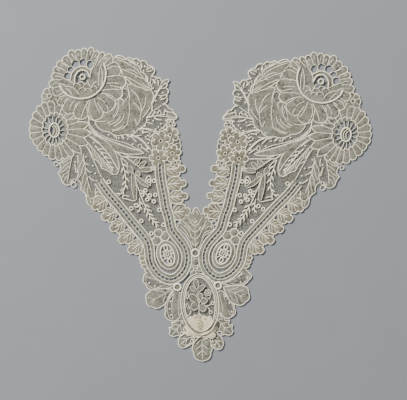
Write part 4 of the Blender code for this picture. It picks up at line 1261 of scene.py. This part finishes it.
    def cloth(self, name, material, slot, stands_for, strip=None, wall=SHEET_WALL):
        """The piece as an object of the scene, with its cut worked out: measured, or given as the
        width and length of a strip that is worked along a curve."""
        piece = self.make(name, material, slot, stands_for, wall, weld=wall is not None)
        wide, long = np.maximum(self.cut() if strip is None else strip, LEAST_CUT)


class Shade:
    """A socket that does arithmetic: each operator adds a Math node."""

    def __init__(self, recipe, socket):
        self.recipe, self.socket = recipe, socket

    def maths(self, operation, *values):
        """One Math node on these values."""
        return self.recipe.node("ShaderNodeMath", {"operation": operation}, dict(enumerate(values)))

    def __add__(self, other):
        return self.maths("ADD", self, other)

    def __radd__(self, other):
        return self.maths("ADD", other, self)

    def __sub__(self, other):
        return self.maths("SUBTRACT", self, other)

    def __rsub__(self, other):
        return self.maths("SUBTRACT", other, self)

    def __mul__(self, other):
        return self.maths("MULTIPLY", self, other)

    def __rmul__(self, other):
        return self.maths("MULTIPLY", other, self)

    def sine(self):
        return self.maths("SINE", self)


def tone(red, green, blue):
    """A screen colour from 0 to 255 as the shader's linear colour."""
    share = np.array([red, green, blue]) / 255
    linear = np.where(share <= 0.04045, share / 12.92, ((share + 0.055) / 1.055) ** 2.4)
    return (*(float(value) for value in linear), 1.0)


class Recipe:
    """One material's nodes."""

    def __init__(self, name, roughness, sheen=0.0):
        self.material = bpy.data.materials.new(name)
        self.material.use_nodes = True
        self.tree = self.material.node_tree
        self.shader = self.tree.nodes["Principled BSDF"]
        self.shader.inputs["Roughness"].default_value = roughness
        self.shader.inputs["Sheen Weight"].default_value = sheen
        self.shader.inputs["Specular IOR Level"].default_value = 0.3

    def node(self, kind, settings, sockets, output=0):
        """Any node: its settings first, then the values or links of its sockets."""
        made = self.tree.nodes.new(kind)
        for key, value in settings.items():
            setattr(made, key, value)
        for key, value in sockets.items():
            self.link(made.inputs[key], value)
        return Shade(self, made.outputs[output])

    def link(self, socket, value):
        """Sets a socket to a value, or joins another node to it."""
        if isinstance(value, Shade):
            self.tree.links.new(value.socket, socket)
        else:
            socket.default_value = value

    def noise(self, scale, detail=2.0):
        """Cloudy noise in object space, about 0.5."""
        place = self.node("ShaderNodeTexCoord", {}, {}, "Object")
        return self.node("ShaderNodeTexNoise", {}, {"Vector": place, "Scale": scale, "Detail": detail})

    def pattern(self):
        """The two pattern places of the piece, in metres."""
        place = self.node("ShaderNodeUVMap", {"uv_map": "pattern"}, {})
        split = self.tree.nodes.new("ShaderNodeSeparateXYZ")
        self.link(split.inputs[0], place)
        return Shade(self, split.outputs[0]), Shade(self, split.outputs[1])

    def blend(self, share, first, second):
        """A mix of two colours."""
        sockets = {0: share, 6: first, 7: second}
        return self.node("ShaderNodeMix", {"data_type": "RGBA", "clamp_factor": True}, sockets, 2)

    def bump(self, height, distance, strength):
        """Relief from a height."""
        made = self.node("ShaderNodeBump", {}, {"Height": height, "Distance": distance, "Strength": strength})
        self.link(self.shader.inputs["Normal"], made)

    def colour(self, value):
        """The shader's colour."""
        self.link(self.shader.inputs["Base Color"], value)


def toile(name, light, dark, tint, uneven=1.0):
    """Worked cloth: rows of stitches that follow the motif, slight slubs, and an uneven yellowing."""
    recipe = Recipe(name, 0.85, 0.15)
    across, along = recipe.pattern()
    rows = (along * (2 * math.pi / STITCH_LENGTH)).sine()
    stitches = (across * (2 * math.pi / STITCH_WIDTH)).sine() * rows
    slubs = recipe.noise(680.0, 3.0)
    clouds = recipe.noise(150.0)
    age = recipe.noise(28.0)
    shade = 0.30 + stitches * 0.22 + (slubs - 0.5) * (3.2 * uneven) + (clouds - 0.5) * (1.8 * uneven)
    worked = recipe.blend(shade, light, dark)
    recipe.colour(recipe.blend((age - 0.38) * 1.3, worked, tint))
    recipe.bump(stitches * 0.6 + slubs, 0.00010, 0.7)
    return recipe.material


def cord(name, light, dark):
    """Corded thread: strands twisted round it, and a little unevenness."""
    recipe = Recipe(name, 0.7, 0.1)
    along, around_it = recipe.pattern()
    twist = (along * (2 * math.pi / TWIST_LENGTH) + around_it * (4 * math.pi)).sine()
    slubs = recipe.noise(700.0)
    recipe.colour(recipe.blend(0.28 + twist * 0.18 + (slubs - 0.5) * 1.2, light, dark))
    recipe.bump(twist * 0.5 + slubs * 0.6, 0.00008, 0.8)
    return recipe.material


def net_thread(name, light, dark):
    """Fine net thread: only a little unevenness."""
    recipe = Recipe(name, 0.85)
    slubs = recipe.noise(500.0)
    recipe.colour(recipe.blend(0.5 + (slubs - 0.5) * 1.6, light, dark))
    recipe.bump(slubs, 0.00004, 0.6)
    return recipe.material


TOILE = toile("worked_toile", tone(128, 126, 113), tone(60, 59, 51), tone(122, 116, 95))
WARM = toile("warm_toile", tone(134, 129, 111), tone(62, 59, 48), tone(128, 118, 92))
CREAM = toile("cream_toile", tone(222, 209, 180), tone(158, 144, 114), tone(206, 188, 150), 0.3)
KNOT_CORD = cord("knot_thread", tone(206, 196, 158), tone(140, 132, 100))
CREAM_CORD = cord("cream_thread", tone(243, 232, 208), tone(206, 192, 162))
CORD = cord("corded_thread", tone(246, 238, 214), tone(192, 183, 158))
NET = net_thread("net_thread", tone(180, 175, 158), tone(120, 116, 102))


def hung_gaps():
    """The arched gap round the rose's button, parted by the bars that hold it."""
    gaps = []
    quarter = 2 * math.pi / BUTTON_GAPS
    for number in range(BUTTON_GAPS):
        start, end = number * quarter + BUTTON_BAR, (number + 1) * quarter - BUTTON_BAR
        turn = np.concatenate([np.linspace(start, end, 6), np.linspace(end, start, 6)])
        gaps.append(np.asarray(BUTTON_CENTRE) + around(turn, np.repeat(BUTTON_GAP_REACH, 6)))
    return gaps


def daisy_slots():
    """The open slots round the daisy's centre, each wider towards its outer end."""
    slots = []
    for number in range(DAISY_SLOTS):
        turn = 2 * math.pi * (number + 0.5) / DAISY_SLOTS + SLOT_HALF_ANGLE * np.array([-1, -1, 1, 1])
        far = np.array([SLOT_FROM, SLOT_TO, SLOT_TO, SLOT_FROM])
        slots.append(DAISY_CENTRE + around(turn, far) * SLOT_OVAL)
    return slots


def small_flower(row, notch=0.72, top=SHEET_TOP):
    """A floret from its row: column, row, reach, petals and turn."""
    column, line, reach, petals, turn = row
    table = [(turn + 360 * k / petals, reach) for k in range(petals)]
    return Flower((column, line), table, notch, top, rise=FLORET_RISE, start=0.15)


def leaflets(path, count, reach, start):
    """Leaflets that lean forward from a stem, in turn on either side: start and end of each."""
    path = spaced(path, PATH_STEP)
    side = sides_of(path)
    along = np.column_stack([side[:, 1], -side[:, 0]])
    share = np.linspace(0, 1, 6)[:, None]
    lines = []
    for number in range(2 * count):
        at = int((start + (LEAFLET_END - start) * (number + 0.5) / (2 * count)) * (len(path) - 1))
        way = 1 if number % 2 else -1
        size = reach * (1 - LEAFLET_SHRINK * number / (2 * count))
        lean = 0.62 * way * side[at] + (0.35 + 0.45 * share) * along[at]
        lines.append(path[at] + share * size * lean)
    return lines


def dress_rose(side, high, heart):
    """The rose, the cords of its petals, and the raised cords of its heart."""
    rose = Work(high.place)
    form = Flower(ROSE_CENTRE, ROSE_PETALS)
    holes = [ellipse(row[0:2], np.add(row[2:4], HOLE_EASE), steps=20) for row in ROSE_HOLES]
    rose.sheet(form, holes + hung_gaps())
    high.cord("rim", form.rim(), closed=True)
    for number in range(form.count):
        high.cord("parting", form.line(number, ROSE_NOTCH_LINE))
        if number in ROSE_OUTER_PETALS:
            high.cord("hair", form.line(number + 0.5, *ROSE_OUTER_LINE))
    high.cords("rose_line", map(bow, ROSE_LINES))
    for row in ROSE_HOLES:
        high.cord("rose_hole", ellipse(row[0:2], np.add(row[2:4], 2 * HOLE_EASE), steps=20), closed=True)
    for column, row, reach in ROSE_SCALLOPS:
        high.cord("rose_scallop", ellipse((column, row), (reach, reach), steps=24)[:13])
    heart.cord("rose_bowl", smooth(BOWL_PATH))
    heart.cord("rose_arch", smooth(ROSE_ARCH))
    heart.cord("rose_outer_arch", smooth(ROSE_OUTER_ARCH))
    heart.rings("rose_button")
    rose.lay(form.rim(6))
    rose.cloth("rose_cloth_" + side, TOILE, "toile", ["rose_" + side])


def dress_daisy(side, high, ring):
    """The daisy, the bars and loops round its centre, and the raised ring on it."""
    daisy = Work(high.place)
    form = Flower(DAISY_CENTRE, DAISY_PETALS, notch=0.92, start=0.5, pointed=DAISY_POINTED)
    daisy.sheet(form, [*daisy_slots(), ellipse(*DAISY_MIDDLE, steps=14)])
    high.cord("rim", form.rim(), closed=True)
    high.cords("parting", form.notch_lines(np.where(form.reach > DAISY_LONG, *DAISY_LINES)))
    for number in range(DAISY_SLOTS):
        turn = 2 * math.pi * number / DAISY_SLOTS
        away = np.array([math.cos(turn), -math.sin(turn)]) * SLOT_OVAL
        high.cord("daisy_bar", DAISY_CENTRE + np.linspace(SLOT_FROM, SLOT_TO, 5)[:, None] * away)
    turn = np.linspace(0, 2 * math.pi, 10 * DAISY_SLOTS, endpoint=False)
    far = DAISY_LOOPS[1] + DAISY_LOOP_SWELL * np.abs(np.sin(turn * DAISY_SLOTS / 2))
    high.cord("daisy_loop", DAISY_LOOPS[0] + around(turn, far) * SLOT_OVAL, closed=True)
    ring.rings("daisy_heart")
    ring.cord("daisy_heart", bow(DAISY_HEART))
    ring.cord("daisy_heart_vein", bow(DAISY_HEART_VEIN))
    daisy.lay(form.rim(6))
    daisy.cloth("daisy_cloth_" + side, TOILE, "toile", ["daisy_" + side])


def dress_side_floret(side, high, knots):
    """The floret beside the rose, with its ring and the one at the spray's end."""
    floret = Work(high.place)
    form = Flower(SIDE_FLORET_CENTRE, SIDE_FLORET_PETALS, start=0.1)
    floret.sheet(form)
    high.cord("rim", form.rim(), closed=True)
    high.cords("vein", form.notch_lines(SIDE_FLORET_LINE))
    knots.rings("side_floret")
    knots.rings("spray_end")
    floret.lay(form.rim(6))
    floret.cloth("side_floret_cloth_" + side, TOILE, "toile", ["side_floret_" + side])


def dress_spray(side, high, nets):
    """The spray of leaves beside the daisy, some with a window of net."""
    spray = Work(high.place)
    high.cords("spray_leaflet", map(bow, SPRAY_LEAFLETS))
    for row in LEAF_SPRAY.values():
        form, part = Leaf(*row[:5], depth=SPRAY_DEPTH, toothed=row[3] > 2), row[5]
        windows = form.windows(part)
        spray.sheet(form, windows)
        shown = 2 + LEAF_STEPS + round(LEAF_STEPS * (1 - part[1])) if windows else None
        high.cord("rim", form.rim()[:shown])
        for outline in windows:
            nets.net(outline)
            high.cord("window_edge", outline[len(outline) // 2:])
            for near in SPRAY_RIBS:
                high.cord("vein", form.line((near, part[3]), (near + SPRAY_RIB_LEAN, SPRAY_RIB_REACH)))
        spray.lay(form.rim())
    form = Leaf(*SPRAY_TIP)
    spray.sheet(form)
    high.cord("rim", form.rim())
    high.cord("vein", form.line((0.1, 0.0), (0.9, 0.0)))
    spray.lay(form.rim())
    names = [f"spray_leaf_{name}_{side}" for name in ("low", "middle", "high", "long")]
    spray.cloth("leaf_spray_" + side, TOILE, "toile", names)


def dress_rose_leaves(side, high, nets):
    """The two leaves of the rose, with net in the openings between, and the small leaves of the tip."""
    leaves = Work(high.place)
    for row in TIP_LEAVES:
        leaves.leaf(Leaf(*row), high, "tip_leaf")
    outlines = [arcs(UPPER_ROSE_LEAF), arcs(LOWER_ROSE_LEAF)]
    for outline, middle in zip(outlines, ROSE_LEAF_MIDDLES):
        leaves.sheet(Patch(outline, middle), ROSE_GAPS)
        high.cord("rim", outline, closed=True)
    high.cords("rose_leaf_line", map(bow, ROSE_LEAF_LINES))
    for outline in ROSE_GAPS:
        nets.edged_net(outline, high, "rose_gap")
    for outline in outlines:
        leaves.lay(outline)
    names = [f"rose_leaf_{name}_{side}" for name in ("upper", "lower")]
    leaves.cloth("rose_leaves_" + side, TOILE, "toile", names)


def dress_florets(side, high, knots, nets):
    """The warm florets on their round of net."""
    petals = Work(high.place)
    for row in FLORETS:
        form = small_flower(row, notch=0.52)
        petals.sheet(form, [ellipse(row[0:2], FLORET_OPENING, steps=10)])
        high.cord("floret_rim", form.rim(), closed=True)
        petals.lay(form.rim(6))
    knots.rings("floret")
    form = Flower(FLORETS_CENTRE, FLORETS_PETALS, start=0.6)
    nets.net(form.rim(6))
    high.cord("low_rim", form.rim(), closed=True)
    high.cords("vein", form.notch_lines(FLORETS_LINE))
    petals.lay(form.rim(6))
    petals.cloth("florets_cloth_" + side, WARM, "warm_toile", ["florets_" + side])


def dress_tip_net(side, high, knots, nets):
    """The net of the tip, with its twigs, leaflets, loops, knots and rings."""
    nets.net(SPRAY_GAP)
    nets.net(DAISY_NET)
    high.cord("spray_edge", bow(SPRAY_EDGE))
    outline = arcs(TIP_NET)
    nets.edged_net(outline, high, "tip_rim")
    high.cords("tip_twig", map(bow, TIP_TWIGS))
    high.cords("tip_leaflet", map(bow, TIP_LEAFLETS))
    high.cord("tip_stalk", bow(TIP_STALK))
    for column, row, wide, tall in TIP_LOOPS:
        high.loop((column, row), (wide, tall), *TIP_LOOP_CORD)
    knots.knots(TIP_KNOTS, NET_KNOT_HEIGHT)
    knots.rings("tip")
    knots.rings("small_tip")
    nets.lay(outline)
    # The width is the area of every net of the flower end over the tip net's run, and a twentieth more. So it
    # is wider than the tip net itself.
    run = path_length(smooth(TIP_NET_RUN))
    strip = (TIP_NET_SPARE * nets.area / run, run)
    nets.cloth("tip_net_cloth_" + side, NET, "net", ["tip_net_" + side], strip, wall=None)


def dress_flower_end(side, place):
    """Rose, daisy, side floret, leaves, florets and tip net of one arm, with their cords."""
    high, heart, ring, knots, nets = (Work(place) for _ in range(5))
    dress_rose(side, high, heart)
    dress_daisy(side, high, ring)
    dress_side_floret(side, high, knots)
    dress_spray(side, high, nets)
    dress_rose_leaves(side, high, nets)
    dress_florets(side, high, knots, nets)
    dress_tip_net(side, high, knots, nets)
    high.make("flower_cords_" + side, CORD, "cord")
    heart.make("rose_heart_" + side + "_cord", CORD, "cord", ["rose_heart_" + side])
    ring.make("daisy_ring_" + side + "_cord", CORD, "cord", ["daisy_ring_" + side])
    knots.make("knots_and_rings_" + side, CORD, "cord")


def dress_panel(side, place, low):
    """Eye medallion, panel net and the sprays that lie on it."""
    eye = Work(place)
    eye.sheet(Hoop(EYE_CENTRE, EYE_OPENING, EYE_BAND, EYE_TILT))
    low.rings("eye_rim", EYE_TILT)
    low.rings("eye_opening", EYE_TILT)
    flower = Flower(EYE_FLOWER, EYE_PETALS, notch=0.62, start=0.2)
    eye.sheet(flower)
    low.cord("eye_flower", flower.rim(), closed=True)
    low.rings("eye_flower")
    low.rings("eye_loop", EYE_TILT)
    for column, row, column_end, row_end in EYE_BARS:
        low.cord("eye_bar", np.linspace((column, row), (column_end, row_end), 4))
    eye.discs(TREFOIL, TREFOIL_RISE, low, "trefoil")
    eye.lay(ellipse(EYE_CENTRE, EYE_BAND, EYE_TILT))
    eye.cloth("eye_cloth_" + side, TOILE, "toile", ["eye_" + side])

    net = Work(place)
    net.net(arcs(PANEL_NET))
    net.net(ellipse(EYE_CENTRE, EYE_NET, EYE_TILT))
    net.cloth("panel_net_cloth_" + side, NET, "net", ["panel_net_" + side], wall=None)
    sprays, leaves, rings = Work(place), Work(place), Work(place)
    for path, count, reach, start in PANEL_STEMS:
        stem = smooth(path)
        leaves.cord("panel_stem", stem)
        leaves.cords("panel_leaflet", leaflets(stem, count, reach, start))
    for row in PANEL_LEAVES:
        form = Leaf(*row, top=PANEL_LEAF_TOP, rise=SPRIG_RISE)
        sprays.sheet(form)
        leaves.cord("panel_leaf", form.rim())
    rings.rings("panel")
    rings.rings("panel_berry")
    net.lay(arcs(PANEL_NET))
    sprays.cloth("panel_leaves_" + side, TOILE, "toile", ["panel_lily_" + side], wall=PANEL_LEAF_WALL)
    leaves.make("panel_leaflets_" + side, CORD, "cord", ["panel_fern_" + side])
    rings.make("panel_rings_" + side, CORD, "cord")


def dress_braid(side, place, low):
    """The ladder braid: cloth on both sides of a row of open holes, with a bar between each two."""
    braid = Work(place)
    form = Band(smooth(BRAID_PATH), -BRAID_HALF, BRAID_HALF)
    for kind, across in BRAID_CORDS:
        low.cord(kind, form.edge(across))
    across = np.array(BRAID_COLUMNS) * BRAID_HALF
    flat = form.path[:, None] + across[None, :, None] * form.sides[:, None]
    share = (np.abs(across) / BRAID_HALF - BRAID_ROLL) / (1 - BRAID_ROLL)
    height = SHEET_TOP + SHEET_RISE * np.maximum(0, 1 - share**2)
    points = np.concatenate([flat, np.broadcast_to(height[:, None], (*flat.shape[:2], 1))], -1)
    gone = PATH_STEP * np.arange(len(form.path))
    places = np.stack(np.broadcast_arrays(across[None], gone[:, None]), -1) * SQUARE
    hole = ((gone[:-1] + PATH_STEP / 2) % LADDER_PERIOD) < LADDER_OPEN * LADDER_PERIOD
    near = np.abs((across[1:] + across[:-1]) / 2) < LADDER_HALF
    middle = (points[:-1, :-1] + points[1:, 1:])[..., :2] / 2
    keep = ~(hole[:, None] & near[None]) & ~LACE.covers(place(middle))
    braid.add(on_table(points, place), places, keep, facing_up=True)
    braid.lay(np.vstack([form.edge(BRAID_HALF), form.edge(-BRAID_HALF)[::-1]]))
    strip = (2 * BRAID_HALF * SQUARE, path_length(form.path))
    braid.cloth("braid_cloth_" + side, TOILE, "cord", ["braid_" + side], strip)


def border_openings(rows, edge):
    """Three-cornered openings at the braid's edge, one between each two large leaves."""
    table = np.asarray(rows, float)
    out = table[:, 2:4] - table[:, 0:2]
    out /= np.hypot(*out.T)[:, None]
    openings = []
    for number in range(1, int((table[:, 5] > 1).sum())):
        away = out[number - 1:number + 1].mean(0)
        beside = np.array([-away[1], away[0]])
        middle = table[number - 1:number + 1, 0:2].mean(0)
        foot = edge[np.argmin(np.hypot(*(edge - middle).T))] + 0.5 * away
        half, reach = BORDER_OPENING
        openings.append(foot + np.array([half * beside, reach * away, -half * beside]))
    return openings


def border_leaf(root, tip, width):
    """Outline, midrib and ribs of a border leaf. Its shoulders touch its neighbours, and its tip is a round
    lobe."""
    ahead = tip - root
    beside = np.array([-ahead[1], ahead[0]]) * (width / 2 / np.hypot(*ahead))

    def spot(along, across):
        return root + np.multiply.outer(along, ahead) + np.multiply.outer(across, beside)

    half = np.asarray(BORDER_EDGE)
    along = np.append(half[:, 0], half[-2::-1, 0])
    across = np.append(half[:, 1], -half[-2::-1, 1])
    bulge = np.concatenate([half[:-1, 2], half[-2::-1, 2], [0.0]])
    outline = arcs(np.column_stack([spot(along, across), bulge]), 4)
    ribs = [
        spot(np.linspace(start, end, 5), way * np.linspace(low, high, 5))
        for start, low, end, high in BORDER_RIBS for way in (-1, 1)
    ]
    return outline, spot(np.linspace(0, BORDER_RIB_LENGTH, 6), np.zeros(6)), ribs


def dress_border(side, place, low, name):
    """A row of lobed leaves, each with a round lobe at its tip, on the strip that they grow from."""
    rows, (first, last, far, far_end) = BORDERS[name]
    border = Work(place)
    path = spaced(smooth(BRAID_PATH), PATH_STEP)
    ground = Band(path[int(first * len(path)):int(last * len(path))], STRIP_NEAR, far, far_end)
    for corners in border_openings(rows, ground.edge(-BRAID_HALF)):
        low.cord("border_opening", corners, closed=True)
        border.lay(corners)
    for row in rows:
        base, tip, large = np.asarray(row[0:2]), np.asarray(row[2:4]), row[5] > 1
        length = float(np.hypot(*(tip - base)))
        ahead = (tip - base) / length
        if large:
            root = base - BORDER_ROOT * ahead
            outline, midrib, ribs = border_leaf(root, tip, row[4])
            low.cord("border_midrib", midrib)
            low.cords("border_rib", ribs)
            border.sheet(Patch(outline, root + BORDER_MIDDLE * (tip - root), rise=LARGE_LEAF_RISE))
        else:
            middle = (base + tip) / 2
            tilt = math.degrees(math.atan2(ahead[1], ahead[0]))
            outline = ellipse(middle, (length / 2, row[4] / 2), tilt, 20)
            border.sheet(Patch(outline, middle, rise=SMALL_LEAF_RISE))
        low.cord("border_rim", outline, closed=True)
        border.lay(outline)
    border.sheet(ground)
    outer = ground.edge(ground.outer)
    low.cord("low_rim", outer)
    border.lay(np.vstack([ground.edge(STRIP_NEAR), outer[::-1]]))
    border.cloth(f"{name}_cloth_{side}", WARM, "warm_toile", [f"{name}_{side}"])


def leaf_ribs(outline, base, tip, count):
    """The midrib and the side ribs of a leaf: each side rib leans to the tip and stops short of the edge."""
    base, tip = np.asarray(base, float), np.asarray(tip, float)
    lines = [np.stack([base, (base + tip) / 2, tip])]
    spine = (tip - base) / np.hypot(*(tip - base))
    for share in np.linspace(*FAN_RIB_SPAN, count):
        start = base + share * (tip - base)
        for way in (-1, 1):
            turn = math.radians(way * FAN_RIB_LEAN)
            ahead = np.array([spine[0] * math.cos(turn) - spine[1] * math.sin(turn),
                              spine[0] * math.sin(turn) + spine[1] * math.cos(turn)])
            within = inside(start + np.arange(PATH_STEP, 30, PATH_STEP)[:, None] * ahead, outline)
            far = FAN_RIB_FILL * PATH_STEP * int(np.argmin(within))
            if far > SHORTEST_RIB:
                lines.append(start + np.linspace(0, far, 4)[:, None] * ahead)
    return lines


def dress_rings(berries):
    """The joining rings and the centre ring, each round its patch of cloth."""
    rings = Work()
    for spot in (*JOINING_RINGS, CENTRE_RING):
        berries.sheet(Patch(ellipse(spot, (RING_CLOTH, RING_CLOTH)), spot, top=RIM_HEIGHT))
    rings.rings("joining")
    for spot in JOINING_RINGS:
        rings.lay(ellipse(spot, (JOINING_CLEAR, JOINING_CLEAR)))
    rings.rings("centre")
    rings.lay(ellipse(CENTRE_RING, (CENTRE_CLEAR, CENTRE_CLEAR)))
    rings.make("rings", CORD, "cord", ["joining_ring_left", "joining_ring_right", "centre_ring"])


def dress_band(cords):
    """The pendant's oval band, with three cords round it."""
    band = Work()
    band.sheet(Hoop(PENDANT_CENTRE, PENDANT_HOLE, PENDANT_REACH, PENDANT_TILT, rise=PENDANT_BAND_RISE))
    for kind in ("pendant_outer", "pendant_middle", "pendant_inner"):
        cords.rings(kind, PENDANT_TILT)
    band.lay(ellipse(PENDANT_CENTRE, PENDANT_REACH, PENDANT_TILT, 48))
    middle = ellipse(PENDANT_CENTRE, np.add(PENDANT_HOLE, PENDANT_REACH) / 2, PENDANT_TILT, 96)
    strip = ((PENDANT_REACH[0] - PENDANT_HOLE[0]) * SQUARE, path_length(np.vstack([middle, middle[:1]])))
    band.cloth("pendant_band_cloth", TOILE, "cord", ["pendant_band"], strip)


def dress_leaves(cords, nets):
    """The fan of leaves beside the pendant and the leaves at its foot, some with a window of net."""
    fan = Work()
    for name, corners in FAN_LEAVES.items():
        middle, base, tip, count, part = FAN_RIBS[name]
        outline = arcs(corners)
        windows = [smooth([*part, part[0]], 4)[:-1]] if part else []
        fan.sheet(Patch(outline, middle), windows)
        cords.cord("rim", outline, closed=True)
        for edge in windows:
            nets.edged_net(edge, cords, "window")
        cords.cords("fan_rib", leaf_ribs(outline, base, tip, count))
        fan.lay(outline)
    fan.cloth("fan_leaves", TOILE, "toile", ["fan_leaf_" + name for name in FAN_LEAVES])

    foot = Work()
    for name, row in FOOT_LEAVES.items():
        toothed = "serrated" in name
        form = Leaf(*row[:5], depth=SERRATED_DEPTH if toothed else FOOT_DEPTH, toothed=toothed)
        windows = form.windows(row[5])
        foot.sheet(form, windows)
        cords.cord("rim", form.rim())
        for outline in windows:
            nets.edged_net(outline, cords, "window")
        cords.cords("vein", form.ribs(FOOT_RIB_REACH[0 if toothed else 1]))
        foot.lay(form.rim())
    foot.cloth("foot_leaves", TOILE, "toile", list(FOOT_LEAVES))


def dress_palmette(cords, knots):
    """The palmette, with its lines, its ribs and a ring at either side."""
    palmette = Work()
    outline = arcs(PALMETTE_EDGE)
    palmette.sheet(Patch(outline, PALMETTE_CENTRE, rise=PALMETTE_RISE))
    cords.cord("palmette_rim", outline, closed=True)
    cords.cords("palmette_line", map(bow, PALMETTE_LINES))
    for row, reach in PALMETTE_RIBS:
        for way in (-1, 1):
            by = (PALMETTE_MIDRIB + PALMETTE_BEND[0] * way * reach, row - PALMETTE_BEND[1] * reach)
            rib = (PALMETTE_MIDRIB, row, *by, PALMETTE_MIDRIB + way * reach, row - reach)
            cords.cord("palmette_rib", bow(rib))
    knots.rings("palmette")
    palmette.lay(outline)
    palmette.cloth("palmette_cloth", TOILE, "toile", ["palmette"])


def dress_centre():
    """Rings, pendant, fan leaves, foot leaves, berries and palmette."""
    cords, knots, berries, nets = Work(), Work(), Work(), Work()
    dress_rings(berries)
    dress_band(cords)
    dress_leaves(cords, nets)
    knots.rings("berries")
    berries.discs(BERRIES, BERRY_RISE, cords, "berry")
    for corners in RING_GAPS:
        cords.cord("ring_gap", corners, closed=True)
        berries.lay(corners)
    form = Flower(BERRIES_CENTRE, BERRIES_PETALS, 0.7)
    berries.sheet(form)
    berries.lay(form.rim(6))
    berries.cloth("berries_cloth", TOILE, "toile", ["berries"])
    dress_palmette(cords, knots)
    kept = list(LACE.outlines)
    dress_pendant(cords, nets, knots)
    dress_raised_flower(kept)
    cords.make("centre_cords", CORD, "cord")
    knots.knots(CENTRE_KNOTS, LEAF_KNOT_HEIGHT)
    knots.make("centre_knots", CORD, "cord")


def dress_pendant(cords, nets, knots):
    """The pendant's net and the spray on it. Neither keeps clear of what was laid before."""
    LACE.outlines.clear()
    nets.net(ellipse(PENDANT_CENTRE, np.add(PENDANT_HOLE, PENDANT_NET_EASE), PENDANT_TILT, 48))
    nets.cloth("pendant_net_cloth", NET, "net", ["pendant_net"], wall=None)
    spray = Work()
    for row in SPRAY_LEAVES:
        spray.leaf(Leaf(*row, top=PENDANT_LEAF_TOP, rise=SPRIG_RISE), cords, "pendant_leaf")
    form = small_flower(SPRAY_FLOWER, top=PENDANT_LEAF_TOP)
    spray.sheet(form)
    cords.cord("pendant_floret", form.rim(), closed=True)
    knots.rings("pendant_floret")
    cords.cords("pendant_stem", map(smooth, SPRAY_STEMS))
    knots.rings("pendant_spray")
    spray.cloth("pendant_spray_cloth", TOILE, "toile", ["pendant_spray"], wall=PENDANT_LEAF_WALL)


def over_flower(reach):
    """The part of an ellipse of the pendant's band that runs on over the raised flower."""
    line = ellipse(PENDANT_CENTRE, reach, PENDANT_TILT, 72)
    return line[(line[:, 1] > CREAM_BANDS_BELOW) & (np.arange(72) > 36)]


def dress_raised_flower(kept):
    """The raised cream flower at the pendant's foot, on top of all. What was kept counts again after it."""
    LACE.outlines.clear()
    cream, petals, cords, knots, strap = (Work() for _ in range(5))
    form = Flower(FLOWER_CENTRE, FLOWER_PETALS, **CREAM_BACK)
    cream.sheet(form)
    cords.cord("hair", form.rim(), closed=True)
    for base, tip, width, bend, lift in CREAM_PETALS:
        form = Leaf(base, tip, width, 2, bend, lift=lift, **CREAM_PETAL)
        petals.sheet(form)
        cords.cord("vein", form.rim())
        cords.cord("hair", form.line((0.25, 0.0), (0.85, 0.0)))
    cords.cords("cream_band", map(over_flower, CREAM_BANDS))
    for row in CREAM_CROSS:
        line = bow(row[0:6])
        cords.cord("parting", np.column_stack([line, np.linspace(*row[6:8], len(line))]))
    knots.rings("cream")
    middle = over_flower(np.mean(CREAM_BANDS, axis=0))
    strap.sheet(Band(middle, -STRAP_HALF, STRAP_HALF, top=STRAP_TOP, rise=STRAP_RISE))
    LACE.outlines[:] = kept
    # The strap is too narrow to be declared at its true size, so its cut is the longest its area allows.
    cut = (LEAST_CUT, strap.area / (LEAST_FILL * LEAST_CUT))
    strap.cloth("raised_flower_strap", WARM, "warm_toile", (), cut)
    cream.cloth("raised_flower_back", CREAM, "cream_toile", ["raised_flower"])
    petals.cloth("raised_flower_petals", CREAM, "cream_toile", ())
    cords.make("raised_flower_cords", CREAM_CORD, "cord")
    knots.make("raised_flower_knots", KNOT_CORD, "cord")


ARMS = (("left", on_left), ("right", on_right))
low_cords = {side: Work(place) for side, place in ARMS}
for side, place in ARMS:
    dress_braid(side, place, low_cords[side])
for side, place in ARMS:
    dress_flower_end(side, place)
    dress_panel(side, place, low_cords[side])
dress_centre()
for side, place in ARMS:
    for name in BORDERS:
        dress_border(side, place, low_cords[side], name)
    low_cords[side].make("panel_cords_" + side, CORD, "cord")

# The plain pale table.
table = bpy.data.meshes.new("table")
table.from_pydata([(-3, -3, 0), (3, -3, 0), (3, 3, 0), (-3, 3, 0)], [], [(0, 1, 2, 3)])
floor = bpy.data.objects.new("table", table)
bpy.context.scene.collection.objects.link(floor)
paint = Recipe("table_top", 0.9)
grain = paint.noise(40.0)
paint.colour(paint.blend(grain, tone(124, 127, 131), tone(121, 124, 128)))
table.materials.append(paint.material)


def soft_light(name, spot, size, power, colour):
    """A square soft box that faces the middle of the lace."""
    lamp = bpy.data.lights.new(name, "AREA")
    lamp.shape = "SQUARE"
    lamp.size = size
    lamp.energy = power
    lamp.color = colour
    holder = bpy.data.objects.new(name, lamp)
    holder.location = spot
    away = np.array(spot) / np.linalg.norm(spot)
    holder.rotation_euler = (math.acos(away[2]), 0, math.atan2(away[0], -away[1]))
    bpy.context.scene.collection.objects.link(holder)


for name, row in LIGHTS.items():
    soft_light(name, *row)
world = bpy.data.worlds.new("studio")
world.use_nodes = True
world.node_tree.nodes["Background"].inputs["Color"].default_value = SKY_COLOUR
world.node_tree.nodes["Background"].inputs["Strength"].default_value = SKY_STRENGTH
bpy.context.scene.world = world

lens = bpy.data.cameras.new("camera")
lens.lens = LENS_LENGTH
lens.sensor_width = SENSOR_WIDTH
lens.sensor_fit = "HORIZONTAL"
lens.clip_end = 10
camera = bpy.data.objects.new("camera", lens)
camera.location = CAMERA_SPOT
bpy.context.scene.collection.objects.link(camera)
bpy.context.scene.camera = camera

bpy.context.view_layer.update()
